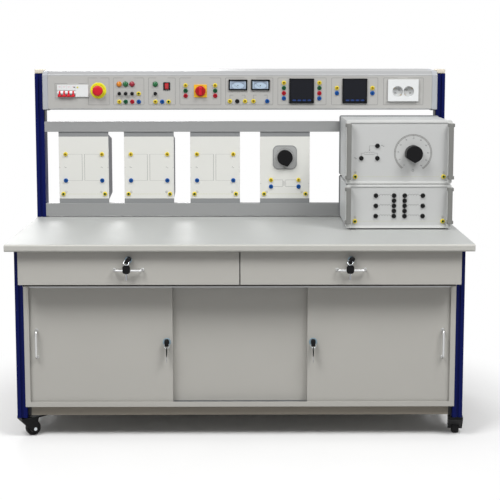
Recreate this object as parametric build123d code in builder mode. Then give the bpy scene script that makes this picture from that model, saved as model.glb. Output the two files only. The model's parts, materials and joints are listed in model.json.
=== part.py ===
from build123d import *
import math
import os

os.makedirs("parts", exist_ok=True)

# A mobile bench for transformer experiments. All sizes are in millimetres.
# The origin lies on the floor under the middle of the whole bench, the user stands on the -Y side.
# Depths are measured backwards from the front edge of the table top.

# Table top
table_width = 1600.0
table_depth = 850.0
table_thickness = 25.0
table_height = 710.0
table_edge_radius = 6.0

# Grooved aluminium posts, used for the legs and for the uprights
post_width = 35.0
post_depth = 70.0
post_wall = 3.0
groove_width = 8.0
groove_depth = 5.0
leg_side_inset = 15.0
leg_front_inset = 99.0
leg_rear_inset = 15.0
leg_bottom = 75.0
upright_front = 680.0
upright_rise = 3.0
cap_height = 17.0
cap_radius = 5.0
cap_clearance = 0.3

# Stretchers between the legs and the blocks that join them
stretcher_height = 35.0
stretcher_depth = 35.0
stretcher_bottom = 81.0
stretcher_wall = 2.5
upper_stretcher_height = 35.0
upper_stretcher_width = 25.0
joint_block = 12.0

# Castors
wheel_radius = 26.0
wheel_width = 26.0
axle_radius = 4.0
castor_trail = 32.0
fork_wall = 12.0
fork_top = 70.0
fork_crown = 10.0
fork_back = 17.5
race_radius = 15.0
stem_radius = 5.5
stem_length = 28.0
socket_height = 34.0
pedal_length = 40.0
pedal_width = 30.0
pedal_thickness = 5.0
pedal_rise = 8.0
pedal_pivot_radius = 4.5
pedal_pivot_height = 64.0
pedal_pin_radius = 1.8
fork_nose = 44.0
fork_ear = 9.0
fork_tyre_gap = 3.0
castor_angles = {
    "front_left": 30.0,
    "front_right": 84.0,
    "rear_left": -60.0,
    "rear_right": -120.0,
}

# Running fits and the small gaps between pieces that move
running_fit = 0.05
slide_gap = 0.3

# Cabinet with two sliding doors
sheet = 2.0
cabinet_side_gap = 2.0
cabinet_rear = 800.0
cabinet_height = 440.0
flange_lap = 5.0
flange_width = 18.0
flange_top = 8.0
door_thickness = 20.0
door_sheet = 1.5
door_recess = 10.0
door_inner_edge = 236.5
door_lap = 5.0
door_lift = 6.0
track_lip = 2.4
track_lip_gap = 0.6
track_height = 12.0
track_floor = 2.0
centre_lap = 45.0
centre_return = 15.0
centre_gap = 1.0

# Drawers
drawer_front_inset = 30.0
drawer_front_thickness = 18.0
drawer_bottom_gap = 10.0
drawer_front_side = 760.0
drawer_seam = 4.0
drawer_top_gap = 2.0
housing_clearance = 2.0
housing_rear = 760.0
tray_top_gap = 27.0
tray_length = 550.0
tray_wall = 1.5
tray_lift = 14.0
runner_width = 12.5
runner_height = 45.0
runner_wall = 1.5
runner_shift = 2.5
runner_length = 590.0
rib_width = 20.0
rib_offset = 150.0

# Bow handles
handle_span = 96.0
handle_reach = 20.0
handle_bar_radius = 4.0
handle_bend = 12.0
drawer_handle_drop = 64.0
door_handle_inset = 25.0
door_handle_height = 342.0

# Locks with a key and a spare key on a ring
lock_flange_radius = 12.0
door_lock_flange_radius = 14.5
lock_flange_thickness = 3.0
lock_barrel_radius = 9.0
lock_plug_radius = 6.0
lock_barrel_length = 14.0
lock_hole_clearance = 0.3
drawer_lock_drop = 30.0
drawer_key_tilt = 35.0
door_lock_inset = 20.0
door_lock_height = 347.0
cam_length = 16.0
cam_width = 8.0
cam_thickness = 2.0
key_head_width = 28.0
key_head_thickness = 8.0
key_head_length = 17.0
key_neck = 4.0
key_blade_width = 6.0
key_blade_thickness = 2.4
key_hole_margin = 4.0
key_head_corner = 5.0
spare_head_width = 26.0
spare_head_height = 30.0
spare_thickness = 3.0
spare_blade_length = 22.0
spare_handle_gap = 8.0
ring_radius = 9.0
ring_wire = 1.0

# Rails for the experiment modules, between the uprights
rail_depth = 30.0
lower_rail_lift = 4.0
lower_rail_height = 50.0
rail_gap = 282.0
upper_rail_height = 40.0
rail_wall = 2.5
module_slot_depth = 8.0
module_slot_clearance = 0.3

# Experiment modules
module_height = 297.0
module_width = 195.0
module_panel_thickness = 4.0
module_panel_inset = 4.0
module_case_wall = 4.0
module_case_width = 187.0
module_case_depth = 160.0
module_case_front_rise = (13.5, 283.5)
module_case_rear_rise = (31.5, 252.5)
module_side_gap = 53.5
module_steps = [0.0, 256.0, 515.5, 789.5]
module_dial_size = 95.0
module_dial_corner = 21.0
module_dial_thickness = 3.0
module_dial_rise = 189.0
module_knob_radius = 30.0
module_knob_nose = 36.5
module_knob_nose_angle = -75.0
module_knob_height = 24.0
core_width = 100.0
core_height = 84.0
core_depth = 50.0
core_rise = 148.5
coil_width = 62.0
coil_height = 54.0
coil_depth = 82.0
rheostat_radius = 55.0
rheostat_depth = 45.0
knob_shaft_radius = 4.0

# Supply console between the uprights
console_front_depth = 646.0
console_depth = 200.0
console_rail_gap = 48.0
console_front_height = 136.0
console_crest_height = 149.0
console_rear_height = 155.0
console_wall = 3.0
console_slope = 22.0
console_radius = 5.0
console_cap_length = 22.0
console_window_lip = 9.0
console_bracket_width = 20.0
console_bracket_depth = 40.0
console_bracket_thickness = 4.0

# Devices on the console
panel_plate = 3.0
breaker_inset = 96.25
breaker_width = 120.5
breaker_nose_height = 46.0
breaker_body_height = 85.0
breaker_body_depth = 52.0
breaker_nose_reach = 6.0
breaker_rise = 73.5
toggle_slot_height = 28.0
toggle_slot_offset = -7.5
toggle_pole_pitch = 17.5
toggle_poles = 4
toggle_hub_radius = 8.0
toggle_lever_length = 20.0
toggle_lever_width = 11.0
toggle_lever_thickness = 5.0
toggle_rest_angle = -50.0
test_button_size = 5.0
test_button_offset = 18.75
test_button_lift = 13.0
test_button_travel = 1.5
estop_offset = 98.25
estop_rise = 74.0
estop_collar_radius = 31.0
estop_head_radius = 20.0
estop_head_length = 12.0
estop_stem_radius = 11.0
estop_reach = 30.0
estop_travel = 6.0
rotary_share = -0.206595
rotary_rise = 72.5
rotary_plate_size = 50.0
rotary_knob_radius = 20.0
rotary_knob_base = 8.0
rotary_grip_width = 12.0
rotary_grip_length = 45.0
rotary_grip_height = 14.0
rocker_share = -0.382234
rocker_rise = 91.0
rocker_bezel_width = 26.0
rocker_bezel_height = 30.0
rocker_radius = 12.0
rocker_length = 18.0
rocker_tilt = 12.0
rocker_pivot_depth = 2.0
rocker_face = 7.0
lamp_radius = 10.5
lamp_reach = 9.0
supply_share = -0.596231
lamp_steps = [-24.5, 0.0, 25.0]
rocker_lamp_step = -44.0
lamp_rise = 99.0
fuse_radius = 7.0
fuse_reach = 12.0
fuse_rise = 62.5
socket_radius = 8.5
socket_collar = 2.0
socket_nose_radius = 6.0
socket_reach = 7.0
socket_bore_radius = 2.1
socket_row_rise = 31.0
supply_socket_steps = [-24.5, 0.0, 25.0, 50.5]
rocker_socket_steps = [-44.0, -18.0, 7.0]
rotary_socket_steps = [-57.5, 57.0]
rotary_socket_rises = [94.0, 73.5, 54.0]
analog_socket_steps = [-74.5, -46.0, -16.0, 16.5, 70.0]
analog_socket_rise = 33.0
phase_socket_steps = [-68.5, 69.0]
phase_socket_rises = [104.0, 84.0, 64.0, 44.0]
load_socket_steps = [-69.0, 68.5]
load_socket_rises = [84.0, 64.0]
module_socket_spread = 71.3
module_socket_rises = [201.3, 97.7]
dial_socket_spread = 54.2
dial_socket_rises = [99.5, 73.2]
earth_socket_spread = 81.6
earth_socket_rise = 44.5
winding_socket_shift = 3.0
winding_inner_spread = 19.5
winding_outer_spread = 86.0
winding_socket_rise = 82.4
winding_socket_pitch = 18.9
output_sockets = [(-138.1, 93.5), (-79.6, 93.5), (-79.6, 138.8)]
earth_columns = [-159.5, 163.0]
earth_rises = [25.4, 26.0]
analog_width = 72.0
analog_height = 41.0
analog_reach = 6.0
analog_body_width = 66.0
analog_body_height = 35.0
analog_body_depth = 45.0
analog_share = 0.047106
analog_pitch = 87.0
analog_rise = 96.0
digital_size = 96.0
digital_reach = 7.0
digital_body = 90.0
digital_body_depth = 60.0
digital_shares = [0.320323, 0.597577]
digital_rise = 72.5
outlet_inset = 112.0
outlet_rise = 75.0
outlet_width = 118.0
outlet_height = 84.0
outlet_reach = 10.0
outlet_body_width = 104.0
outlet_body_height = 60.0
outlet_body_depth = 24.0
outlet_well_radius = 20.5
outlet_well_depth = 17.0
outlet_well_spread = 42.5
outlet_well_drop = 4.5
outlet_pin_radius = 2.5
outlet_pin_spread = 19.0
outlet_pin_depth = 12.0

# Two bench instruments that stand on each other
instrument_side_gap = 26.5
instrument_width = 386.0
instrument_front = 340.0
instrument_depth = 332.0
instrument_foot = 5.0
lower_case_height = 162.0
upper_case_height = 232.0
stack_gap = 2.0
stack_seat = 0.3
foot_radius = 10.0
foot_inset = 28.0
frame_corner = 8.0
frame_depth = 18.0
rear_frame_depth = 14.0
frame_side_bar = 16.0
frame_top_bar = 9.0
frame_lip = 3.0
frame_rabbet = 4.0
case_inset = 4.0
case_wall = 2.0
vent_pitch = 9.0
vent_length = 60.0
vent_height = 3.0
vent_margin = 24.0
instrument_plate = 2.5
rack_handle_offset = 185.0
rack_handle_width = 17.0
rack_handle_thickness = 8.0
rack_handle_reach = 28.0
rack_handle_post = 12.0
rack_handle_ear = 4.0
rack_handle_radius = 3.0
rack_handle_low_margin = 18.0
rack_handle_high_margin = 11.0
regulator_knob_offset = 50.5
regulator_knob_rise = 112.0
regulator_knob_radius = 32.5
regulator_knob_flat = 29.4
regulator_knob_flat_spread = 34.0
regulator_knob_flat_angle = 239.0
regulator_knob_height = 46.0
knob_gap = 1.0
variac_radius = 80.0
variac_depth = 90.0
limb_width = 38.0
limb_pitch = 80.0
yoke_height = 24.0
limb_height = 84.0
limb_depth = 50.0
winding_radius = 32.0

# Places that follow from the sizes above
half_width = table_width / 2
table_bottom = table_height - table_thickness
rail_front = upright_front
overall_depth = table_depth
leg_x = half_width - leg_side_inset - post_width / 2
upright_x = half_width - post_width / 2
rail_half = half_width - post_width
leg_depths = (leg_front_inset + post_depth / 2, table_depth - leg_rear_inset - post_depth / 2)
upright_depth = upright_front + post_depth / 2
stretcher_top = stretcher_bottom + stretcher_height
cabinet_bottom = stretcher_top
cabinet_top = cabinet_bottom + cabinet_height
cabinet_half = leg_x - post_width / 2 - cabinet_side_gap
cabinet_front = leg_front_inset
flange_half = leg_x - post_width / 2 + flange_lap
door_edge = flange_half - flange_width + door_lap
door_bottom = cabinet_bottom + sheet + door_lift
door_top = cabinet_top - sheet - door_lift
door_front = cabinet_front - sheet + door_recess
door_back = door_front + door_thickness
track_front = door_front - track_lip_gap - track_lip
track_back = door_back + track_lip_gap + track_lip
drawer_front_top = table_bottom - drawer_top_gap
drawer_front_bottom = cabinet_top + drawer_bottom_gap
drawer_front_back = drawer_front_inset + drawer_front_thickness
housing_front = drawer_front_back + housing_clearance
drawer_centre = (drawer_front_side + drawer_seam / 2) / 2
tray_outer = cabinet_half - sheet - runner_width - slide_gap
tray_inner = sheet / 2 + runner_width + slide_gap
tray_bottom = cabinet_top + tray_lift
tray_top = table_bottom - tray_top_gap
runner_bottom = (tray_bottom + tray_top - runner_height) / 2 + runner_shift
lower_rail_bottom = table_height + lower_rail_lift
lower_rail_top = lower_rail_bottom + lower_rail_height
upper_rail_bottom = lower_rail_top + rail_gap
upper_rail_top = upper_rail_bottom + upper_rail_height
module_bottom = lower_rail_top - (module_height - rail_gap) / 2
module_case_front = [module_bottom + rise for rise in module_case_front_rise]
module_case_rear = [module_bottom + rise for rise in module_case_rear_rise]
module_first = module_side_gap + module_width / 2 - rail_half
module_centres = [module_first + step for step in module_steps]
module_dial_height = module_bottom + module_dial_rise
core_centre_height = module_bottom + core_rise
module_front = rail_front + module_panel_inset
module_panel_back = module_front + module_panel_thickness
module_back = module_panel_back + module_case_depth
lower_case_bottom = table_height + instrument_foot
upper_case_bottom = lower_case_bottom + lower_case_height + stack_gap
instrument_plate_front = instrument_front + frame_lip
instrument_centre = half_width - instrument_side_gap - instrument_width / 2
regulator_knob_x = instrument_centre + regulator_knob_offset
regulator_knob_z = upper_case_bottom + regulator_knob_rise
console_bottom = upper_rail_top + console_rail_gap
console_front_top = console_bottom + console_front_height
console_crest_top = console_bottom + console_crest_height
console_rear_top = console_bottom + console_rear_height
upright_top = console_front_top + upright_rise
device_plate_half = rail_half - console_cap_length
breaker_centre = breaker_inset - device_plate_half
breaker_height = console_bottom + breaker_rise
test_button_x = breaker_centre + test_button_offset
test_button_z = breaker_height + test_button_lift
estop_centre = (breaker_centre + estop_offset, console_bottom + estop_rise)
supply_x = device_plate_half * supply_share
rotary_centre = (device_plate_half * rotary_share, console_bottom + rotary_rise)
rocker_centre = (device_plate_half * rocker_share, console_bottom + rocker_rise)
lamp_columns = [supply_x + step for step in lamp_steps] + [rocker_centre[0] + rocker_lamp_step]
lamp_height = console_bottom + lamp_rise
fuse_height = console_bottom + fuse_rise
analog_x = device_plate_half * analog_share
analog_centres = [(analog_x + side * analog_pitch / 2, console_bottom + analog_rise) for side in (-1, 1)]
digital_centres = [(device_plate_half * share, console_bottom + digital_rise) for share in digital_shares]
outlet_centre = (device_plate_half - outlet_inset, console_bottom + outlet_rise)


def y_at(depth):
    """Y of a depth behind the front edge of the table top."""
    return depth - overall_depth / 2


def slab(x_span, depth_span, z_span, mode=Mode.ADD):
    """Block between two limits in X, in depth and in Z."""
    x_low, x_high = min(x_span), max(x_span)
    y_low, y_high = y_at(min(depth_span)), y_at(max(depth_span))
    z_low, z_high = min(z_span), max(z_span)
    centre = ((x_low + x_high) / 2, (y_low + y_high) / 2, (z_low + z_high) / 2)
    with Locations(centre):
        Box(x_high - x_low, y_high - y_low, z_high - z_low, mode=mode)


def about(centre, size):
    """Two limits that lie evenly about a centre."""
    return (centre - size / 2, centre + size / 2)


def rod(x, z, radius, depth_span, mode=Mode.ADD):
    """Round bar that runs from front to back."""
    low, high = min(depth_span), max(depth_span)
    place = Plane(origin=(x, y_at(low), z), z_dir=(0, 1, 0))
    with Locations(place.location):
        Cylinder(radius, high - low, align=(Align.CENTER, Align.CENTER, Align.MIN), mode=mode)


def front_plane(depth):
    """Upright plane at a depth, seen from the user's side: local x is X and local y is Z."""
    return Plane(origin=(0, y_at(depth), 0), x_dir=(1, 0, 0), z_dir=(0, -1, 0))


def save(piece, label):
    """Labels a finished piece and writes its file."""
    piece.part.label = label
    export_step(piece.part, f"parts/{label}.step")


def make_table_top():
    """Laminated board with a rounded front edge."""
    with BuildPart() as top:
        slab((-half_width, half_width), (0, table_depth), (table_bottom, table_height))
        front_edges = top.edges().filter_by(Axis.X).group_by(Axis.Y)[0]
        fillet(front_edges, radius=table_edge_radius)
    save(top, "table_top")


def post_sketch():
    """Section of a post: grooves on all four sides around a rectangular hollow."""
    with BuildSketch() as section:
        Rectangle(post_width, post_depth)
        with Locations((0, post_depth / 2), (0, -post_depth / 2)):
            Rectangle(groove_width, 2 * groove_depth, mode=Mode.SUBTRACT)
        with GridLocations(post_width, post_depth / 2, 2, 2):
            Rectangle(2 * groove_depth, groove_width, mode=Mode.SUBTRACT)
        inset = 2 * (groove_depth + post_wall)
        Rectangle(post_width - inset, post_depth - inset, mode=Mode.SUBTRACT)
    return section.sketch


def make_posts(label, x, depths, bottom, top):
    """Posts on both sides at each depth, one solid each."""
    section = post_sketch()
    with BuildPart() as posts:
        for side in (-1, 1):
            for depth in depths:
                with BuildSketch(Plane(origin=(side * x, y_at(depth), bottom))):
                    add(section)
                extrude(amount=top - bottom)
    save(posts, label)


def make_end_caps():
    """Moulded caps on the uprights and at both ends of the console."""
    outline = console_outline(0.0)
    with BuildPart() as caps:
        for side in (-1, 1):
            with BuildSketch(Plane(origin=(side * upright_x, y_at(upright_depth), upright_top))):
                RectangleRounded(post_width - 2 * cap_clearance, post_depth, cap_radius)
            extrude(amount=cap_height)
            start = -rail_half if side < 0 else rail_half - console_cap_length
            with BuildSketch(Plane.YZ.offset(start)):
                add(outline)
            extrude(amount=console_cap_length)
    save(caps, "end_caps")


def make_stretchers():
    """Hollow bars between the legs, low down and under the table top."""
    low = (stretcher_bottom, stretcher_top)
    high = (table_bottom - upper_stretcher_height, table_bottom)
    cross_half = leg_x - post_width / 2
    wall = stretcher_wall
    with BuildPart() as bars:
        for depth in leg_depths:
            reach = cross_half - joint_block
            slab((-reach, reach), about(depth, stretcher_depth), low)
            inner = about(depth, stretcher_depth - 2 * wall)
            slab((-reach, reach), inner, (low[0] + wall, low[1] - wall), Mode.SUBTRACT)
        inner_depths = (leg_depths[0] + post_depth / 2, leg_depths[1] - post_depth / 2)
        for side in (-1, 1):
            for band in (low, high):
                slab(about(side * leg_x, upper_stretcher_width), inner_depths, band)
                inner = about(side * leg_x, upper_stretcher_width - 2 * wall)
                slab(inner, inner_depths, (band[0] + wall, band[1] - wall), Mode.SUBTRACT)
        slab((-cross_half, cross_half), about(leg_depths[1], upper_stretcher_width), high)
        inner = about(leg_depths[1], upper_stretcher_width - 2 * wall)
        slab((-cross_half, cross_half), inner, (high[0] + wall, high[1] - wall), Mode.SUBTRACT)
    save(bars, "base_stretchers")


def make_brackets():
    """Castor sockets in the legs, joint blocks of the stretchers and angles under the console."""
    inset = 2 * (groove_depth + post_wall)
    with BuildPart() as brackets:
        for side in (-1, 1):
            for depth in leg_depths:
                slab(about(side * leg_x, post_width - inset), about(depth, post_depth - inset),
                     (leg_bottom, leg_bottom + socket_height))
                with Locations((side * leg_x, y_at(depth), leg_bottom)):
                    Cylinder(stem_radius + running_fit, stem_length + slide_gap,
                             align=(Align.CENTER, Align.CENTER, Align.MIN), mode=Mode.SUBTRACT)
                inner = side * (leg_x - post_width / 2)
                slab((inner, inner - side * joint_block), about(depth, stretcher_depth),
                     (stretcher_bottom, stretcher_top))
        for side in (-1, 1):
            wall_x = side * rail_half
            near = wall_x - side * console_bracket_thickness
            far = wall_x - side * console_bracket_width
            depths = (rail_front, rail_front + console_bracket_depth)
            slab((wall_x, near), depths, (upper_rail_top, console_bottom))
            slab((near, far), depths, (console_bottom - console_bracket_thickness, console_bottom))
    save(brackets, "frame_brackets")


def castor_plane(name, offset=0.0):
    """Upright plane through a castor's stem: local x is its trail, local y is Z, from the floor."""
    side = -1 if name.endswith("left") else 1
    depth = leg_depths[0] if name.startswith("front") else leg_depths[1]
    angle = math.radians(castor_angles[name])
    along = (math.cos(angle), math.sin(angle), 0)
    across = (math.sin(angle), -math.cos(angle), 0)
    origin = (side * leg_x, y_at(depth), 0)
    return Plane(origin=origin, x_dir=along, z_dir=across).offset(offset)


def make_castor_fork(name):
    """Moulded fork with its swivel race, stem and wheel axle."""
    cheek_gap = wheel_width / 2 + slide_gap
    half = cheek_gap + fork_wall
    ear_z = wheel_radius - fork_ear
    crown_z = fork_top - fork_crown
    with BuildPart() as fork:
        with BuildSketch(castor_plane(name)):
            with BuildLine():
                Polyline([(-fork_back, fork_top), (fork_nose, fork_top), (fork_nose, crown_z),
                          (castor_trail + fork_ear, ear_z), (castor_trail - fork_ear, ear_z),
                          (-fork_back, crown_z), (-fork_back, fork_top)])
            make_face()
        extrude(amount=half, both=True)
        slot_radius = wheel_radius + fork_tyre_gap
        with BuildSketch(castor_plane(name)):
            with Locations((castor_trail, wheel_radius)):
                Circle(slot_radius)
                Rectangle(2 * slot_radius, slot_radius, align=(Align.CENTER, Align.MAX))
        extrude(amount=cheek_gap, both=True, mode=Mode.SUBTRACT)
        with BuildSketch(castor_plane(name)):
            with Locations((castor_trail, wheel_radius)):
                Circle(axle_radius)
        extrude(amount=half, both=True)
        stem_at = castor_plane(name).origin
        with Locations((stem_at.X, stem_at.Y, fork_top)):
            Cylinder(race_radius, leg_bottom - fork_top - slide_gap,
                     align=(Align.CENTER, Align.CENTER, Align.MIN))
            Cylinder(stem_radius, leg_bottom - fork_top + stem_length,
                     align=(Align.CENTER, Align.CENTER, Align.MIN))
        if name.startswith("front"):
            with BuildSketch(castor_plane(name)):
                with Locations((fork_nose, pedal_pivot_height)):
                    Circle(pedal_pivot_radius + slide_gap)
            extrude(amount=pedal_width / 2 + slide_gap, both=True, mode=Mode.SUBTRACT)
            with BuildSketch(castor_plane(name)):
                with Locations((fork_nose, pedal_pivot_height)):
                    Circle(pedal_pin_radius)
            extrude(amount=half, both=True)
    save(fork, f"castor_{name}_fork")


def make_castor_wheel(name):
    """Wheel with a rounded tread and a hub that turns on the axle."""
    half = wheel_width / 2
    with BuildPart() as wheel:
        with BuildSketch(castor_plane(name, -half)):
            with Locations((castor_trail, wheel_radius)):
                Circle(wheel_radius)
                Circle(axle_radius + running_fit, mode=Mode.SUBTRACT)
        extrude(amount=wheel_width)
        rims = wheel.edges().filter_by(GeomType.CIRCLE)
        fillet(rims.filter_by(lambda edge: edge.radius > wheel_radius - 1), radius=5)
        for start in (-half, half - 3):
            with BuildSketch(castor_plane(name, start)):
                with Locations((castor_trail, wheel_radius)):
                    Circle(wheel_radius * 0.62)
                    Circle(axle_radius + 5, mode=Mode.SUBTRACT)
            extrude(amount=3, mode=Mode.SUBTRACT)
    save(wheel, f"castor_{name}_wheel")


def make_castor_pedal(name):
    """Brake pedal that rocks on a pin at the fork's crown."""
    with BuildPart() as pedal:
        with BuildSketch(castor_plane(name)):
            with Locations((fork_nose, pedal_pivot_height)):
                Circle(pedal_pivot_radius)
                Rectangle(pedal_length, pedal_thickness, rotation=pedal_rise,
                          align=(Align.MIN, Align.CENTER))
                Circle(pedal_pin_radius + running_fit, mode=Mode.SUBTRACT)
        extrude(amount=pedal_width / 2, both=True)
    save(pedal, f"castor_{name}_pedal")


def make_cabinet_shell():
    """Sheet body with a front flange that laps over the legs."""
    inner = cabinet_half - sheet
    rear_inner = cabinet_rear
    z_inner = (cabinet_bottom + sheet, cabinet_top - sheet)
    flange_front = cabinet_front - sheet
    opening_half = flange_half - flange_width
    with BuildPart() as shell:
        slab((-cabinet_half, cabinet_half), (cabinet_front, cabinet_rear), (cabinet_bottom, cabinet_top))
        slab((-flange_half, flange_half), (flange_front, cabinet_front), (cabinet_bottom, cabinet_top))
        slab((-inner, inner), (cabinet_front, rear_inner), z_inner, Mode.SUBTRACT)
        slab((-opening_half, opening_half), (flange_front, cabinet_front),
             (cabinet_bottom + flange_width, cabinet_top - flange_top), Mode.SUBTRACT)
    save(shell, "cabinet_shell")


def make_cabinet_back():
    """Back sheet of the cabinet, screwed to the rear edges of the shell."""
    with BuildPart() as back:
        slab((-cabinet_half, cabinet_half), (cabinet_rear, cabinet_rear + sheet),
             (cabinet_bottom, cabinet_top))
    save(back, "cabinet_back")


def make_centre_panel():
    """Fixed panel between the doors, with a hole for each lock bolt."""
    half = door_inner_edge + centre_lap
    front = track_back + centre_gap
    bottom, top = cabinet_bottom + sheet, cabinet_top - sheet
    with BuildPart() as panel:
        slab((-half, half), (front, front + sheet), (bottom, top))
        for side in (-1, 1):
            slab((side * half, side * (half - sheet)), (front, front + centre_return), (bottom, top))
            lock_x = side * (door_inner_edge + door_lock_inset)
            rod(lock_x, door_lock_height, lock_plug_radius + slide_gap, (front, front + sheet), Mode.SUBTRACT)
    save(panel, "cabinet_centre_panel")


def make_door_tracks():
    """Lower track with a running ridge and upper guide channel."""
    half = cabinet_half - sheet
    low = cabinet_bottom + sheet
    high = cabinet_top - sheet
    depths = (track_front, track_back)
    middle = (door_front + door_back) / 2
    with BuildPart() as tracks:
        slab((-half, half), depths, (low, low + track_height))
        slab((-half, half), (track_front + track_lip, track_back - track_lip),
             (low + track_floor, low + track_height), Mode.SUBTRACT)
        slab((-half, half), about(middle, door_thickness * 0.4), (low + track_floor, door_bottom - slide_gap))
        slab((-half, half), depths, (high - track_height, high))
        slab((-half, half), (track_front + track_lip, track_back - track_lip),
             (high - track_height, high - track_floor), Mode.SUBTRACT)
    save(tracks, "door_tracks")


def make_door(side, label):
    """Folded sheet door, hollow at the back, with a hole for its lock."""
    outer, inner = side * door_edge, side * door_inner_edge
    skin = door_sheet
    with BuildPart() as door:
        slab((outer, inner), (door_front, door_back), (door_bottom, door_top))
        slab((outer - side * skin, inner + side * skin), (door_front + skin, door_back),
             (door_bottom + skin, door_top - skin), Mode.SUBTRACT)
        lock_x = side * (door_inner_edge + door_lock_inset)
        rod(lock_x, door_lock_height, lock_barrel_radius + lock_hole_clearance,
            (door_front, door_front + skin), Mode.SUBTRACT)
    save(door, label)


def bow_path(span, reach):
    """Centre line of a bow handle: out, along and back."""
    return [(-span / 2, 0), (-span / 2, reach), (span / 2, reach), (span / 2, 0)]


def make_handle(label, x, z, depth, upright, lock_x, lock_z, flange_radius):
    """Bow handle with the fixed barrel of the lock beside it."""
    if upright:
        plane = Plane(origin=(x, y_at(depth), z), x_dir=(0, 0, 1), z_dir=(1, 0, 0))
        foot = Plane(origin=(x, y_at(depth), z - handle_span / 2), z_dir=(0, -1, 0))
    else:
        plane = Plane(origin=(x, y_at(depth), z), x_dir=(1, 0, 0), z_dir=(0, 0, -1))
        foot = Plane(origin=(x - handle_span / 2, y_at(depth), z), z_dir=(0, -1, 0))
    with BuildPart() as handle:
        with BuildLine(plane) as path:
            FilletPolyline(bow_path(handle_span, handle_reach), radius=handle_bend)
        with BuildSketch(foot):
            Circle(handle_bar_radius)
        sweep(path=path.line)
        rod(lock_x, lock_z, flange_radius, (depth - lock_flange_thickness, depth))
        rod(lock_x, lock_z, lock_barrel_radius,
            (depth - lock_flange_thickness, depth + lock_barrel_length))
        rod(lock_x, lock_z, lock_plug_radius + running_fit,
            (depth - lock_flange_thickness, depth + lock_barrel_length), Mode.SUBTRACT)
    save(handle, label)


def make_key(label, x, z, depth, tilt, spare_turned, spare_forward):
    """Lock plug with its cam, the key in it, and a spare key hanging on a ring."""
    face = depth - lock_flange_thickness
    head_back = face - key_neck
    head_front = head_back - key_head_length
    hole_depth = head_front + key_hole_margin
    turn = math.radians(tilt)
    wide = Vector(math.sin(turn), 0, math.cos(turn))
    flat = Vector(math.cos(turn), 0, -math.sin(turn))
    hole_centre = Vector(x, y_at(hole_depth), z)
    lean = Vector(-math.sin(turn) * ring_radius, -spare_forward / 2, 0)
    drop = math.sqrt(ring_radius ** 2 - lean.X ** 2 - lean.Y ** 2)
    ring_centre = hole_centre + Vector(lean.X, lean.Y, -drop)
    ring_normal = (ring_centre - hole_centre).cross(Vector(1, 0, 0))
    spare_top = ring_centre.Z - ring_radius
    spare_y = y_at(hole_depth) - spare_forward
    with BuildPart() as key:
        rod(x, z, lock_plug_radius, (face, depth + lock_barrel_length + cam_thickness))
        cam_low = depth + lock_barrel_length + slide_gap
        slab((x - cam_length, x), (cam_low, cam_low + cam_thickness), about(z, cam_width))
        blade = Plane(origin=(x, y_at(face), z), x_dir=wide, z_dir=(0, -1, 0))
        with BuildSketch(blade):
            Rectangle(key_blade_width, key_blade_thickness)
        extrude(amount=key_neck)
        head = Plane(origin=(x, y_at(head_back), z), x_dir=wide, z_dir=flat)
        with BuildSketch(head):
            with Locations((0, key_head_length / 2 * head.y_dir.dot(Vector(0, -1, 0)))):
                RectangleRounded(key_head_width, key_head_length, key_head_corner)
        extrude(amount=key_head_thickness / 2, both=True)
        with BuildSketch(Plane(origin=ring_centre, x_dir=(1, 0, 0), z_dir=ring_normal)):
            Circle(ring_radius + ring_wire)
            Circle(ring_radius - ring_wire, mode=Mode.SUBTRACT)
        extrude(amount=ring_wire, both=True)
        across = (0, 1, 0) if spare_turned else (1, 0, 0)
        through = (1, 0, 0) if spare_turned else (0, -1, 0)
        spare = Plane(origin=(ring_centre.X, spare_y, spare_top), x_dir=across, z_dir=through)
        up = 1 if spare.y_dir.Z > 0 else -1
        with BuildSketch(spare):
            with Locations((0, up * (ring_wire - spare_head_height / 2))):
                RectangleRounded(spare_head_width, spare_head_height, key_head_corner)
            with Locations((0, up * (ring_wire - spare_head_height - spare_blade_length / 2))):
                Rectangle(key_blade_width, spare_blade_length)
        extrude(amount=spare_thickness / 2, both=True)
    save(key, label)


def make_drawer_housing():
    """Sheet housing above the cabinet, open at the front, with a wall between the drawers."""
    floor = cabinet_top
    inner = cabinet_half - sheet
    with BuildPart() as housing:
        slab((-cabinet_half, cabinet_half), (housing_front, housing_rear), (floor, table_bottom))
        for side in (-1, 1):
            slab((side * sheet / 2, side * inner), (housing_front, housing_rear - sheet),
                 (floor + sheet, table_bottom), Mode.SUBTRACT)
    save(housing, "drawer_housing")


def make_runners():
    """Channels on the housing walls that carry the drawers."""
    band = (runner_bottom, runner_bottom + runner_height)
    inner_band = (band[0] + runner_wall, band[1] - runner_wall)
    depths = (housing_front + housing_clearance, housing_front + housing_clearance + runner_length)
    with BuildPart() as runners:
        for side in (-1, 1):
            outer = side * (cabinet_half - sheet)
            slab((outer, outer - side * runner_width), depths, band)
            slab((outer - side * runner_wall, outer - side * runner_width), depths, inner_band, Mode.SUBTRACT)
            inner = side * sheet / 2
            slab((inner, inner + side * runner_width), depths, band)
            slab((inner + side * runner_wall, inner + side * runner_width), depths, inner_band, Mode.SUBTRACT)
    save(runners, "drawer_runners")


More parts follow.
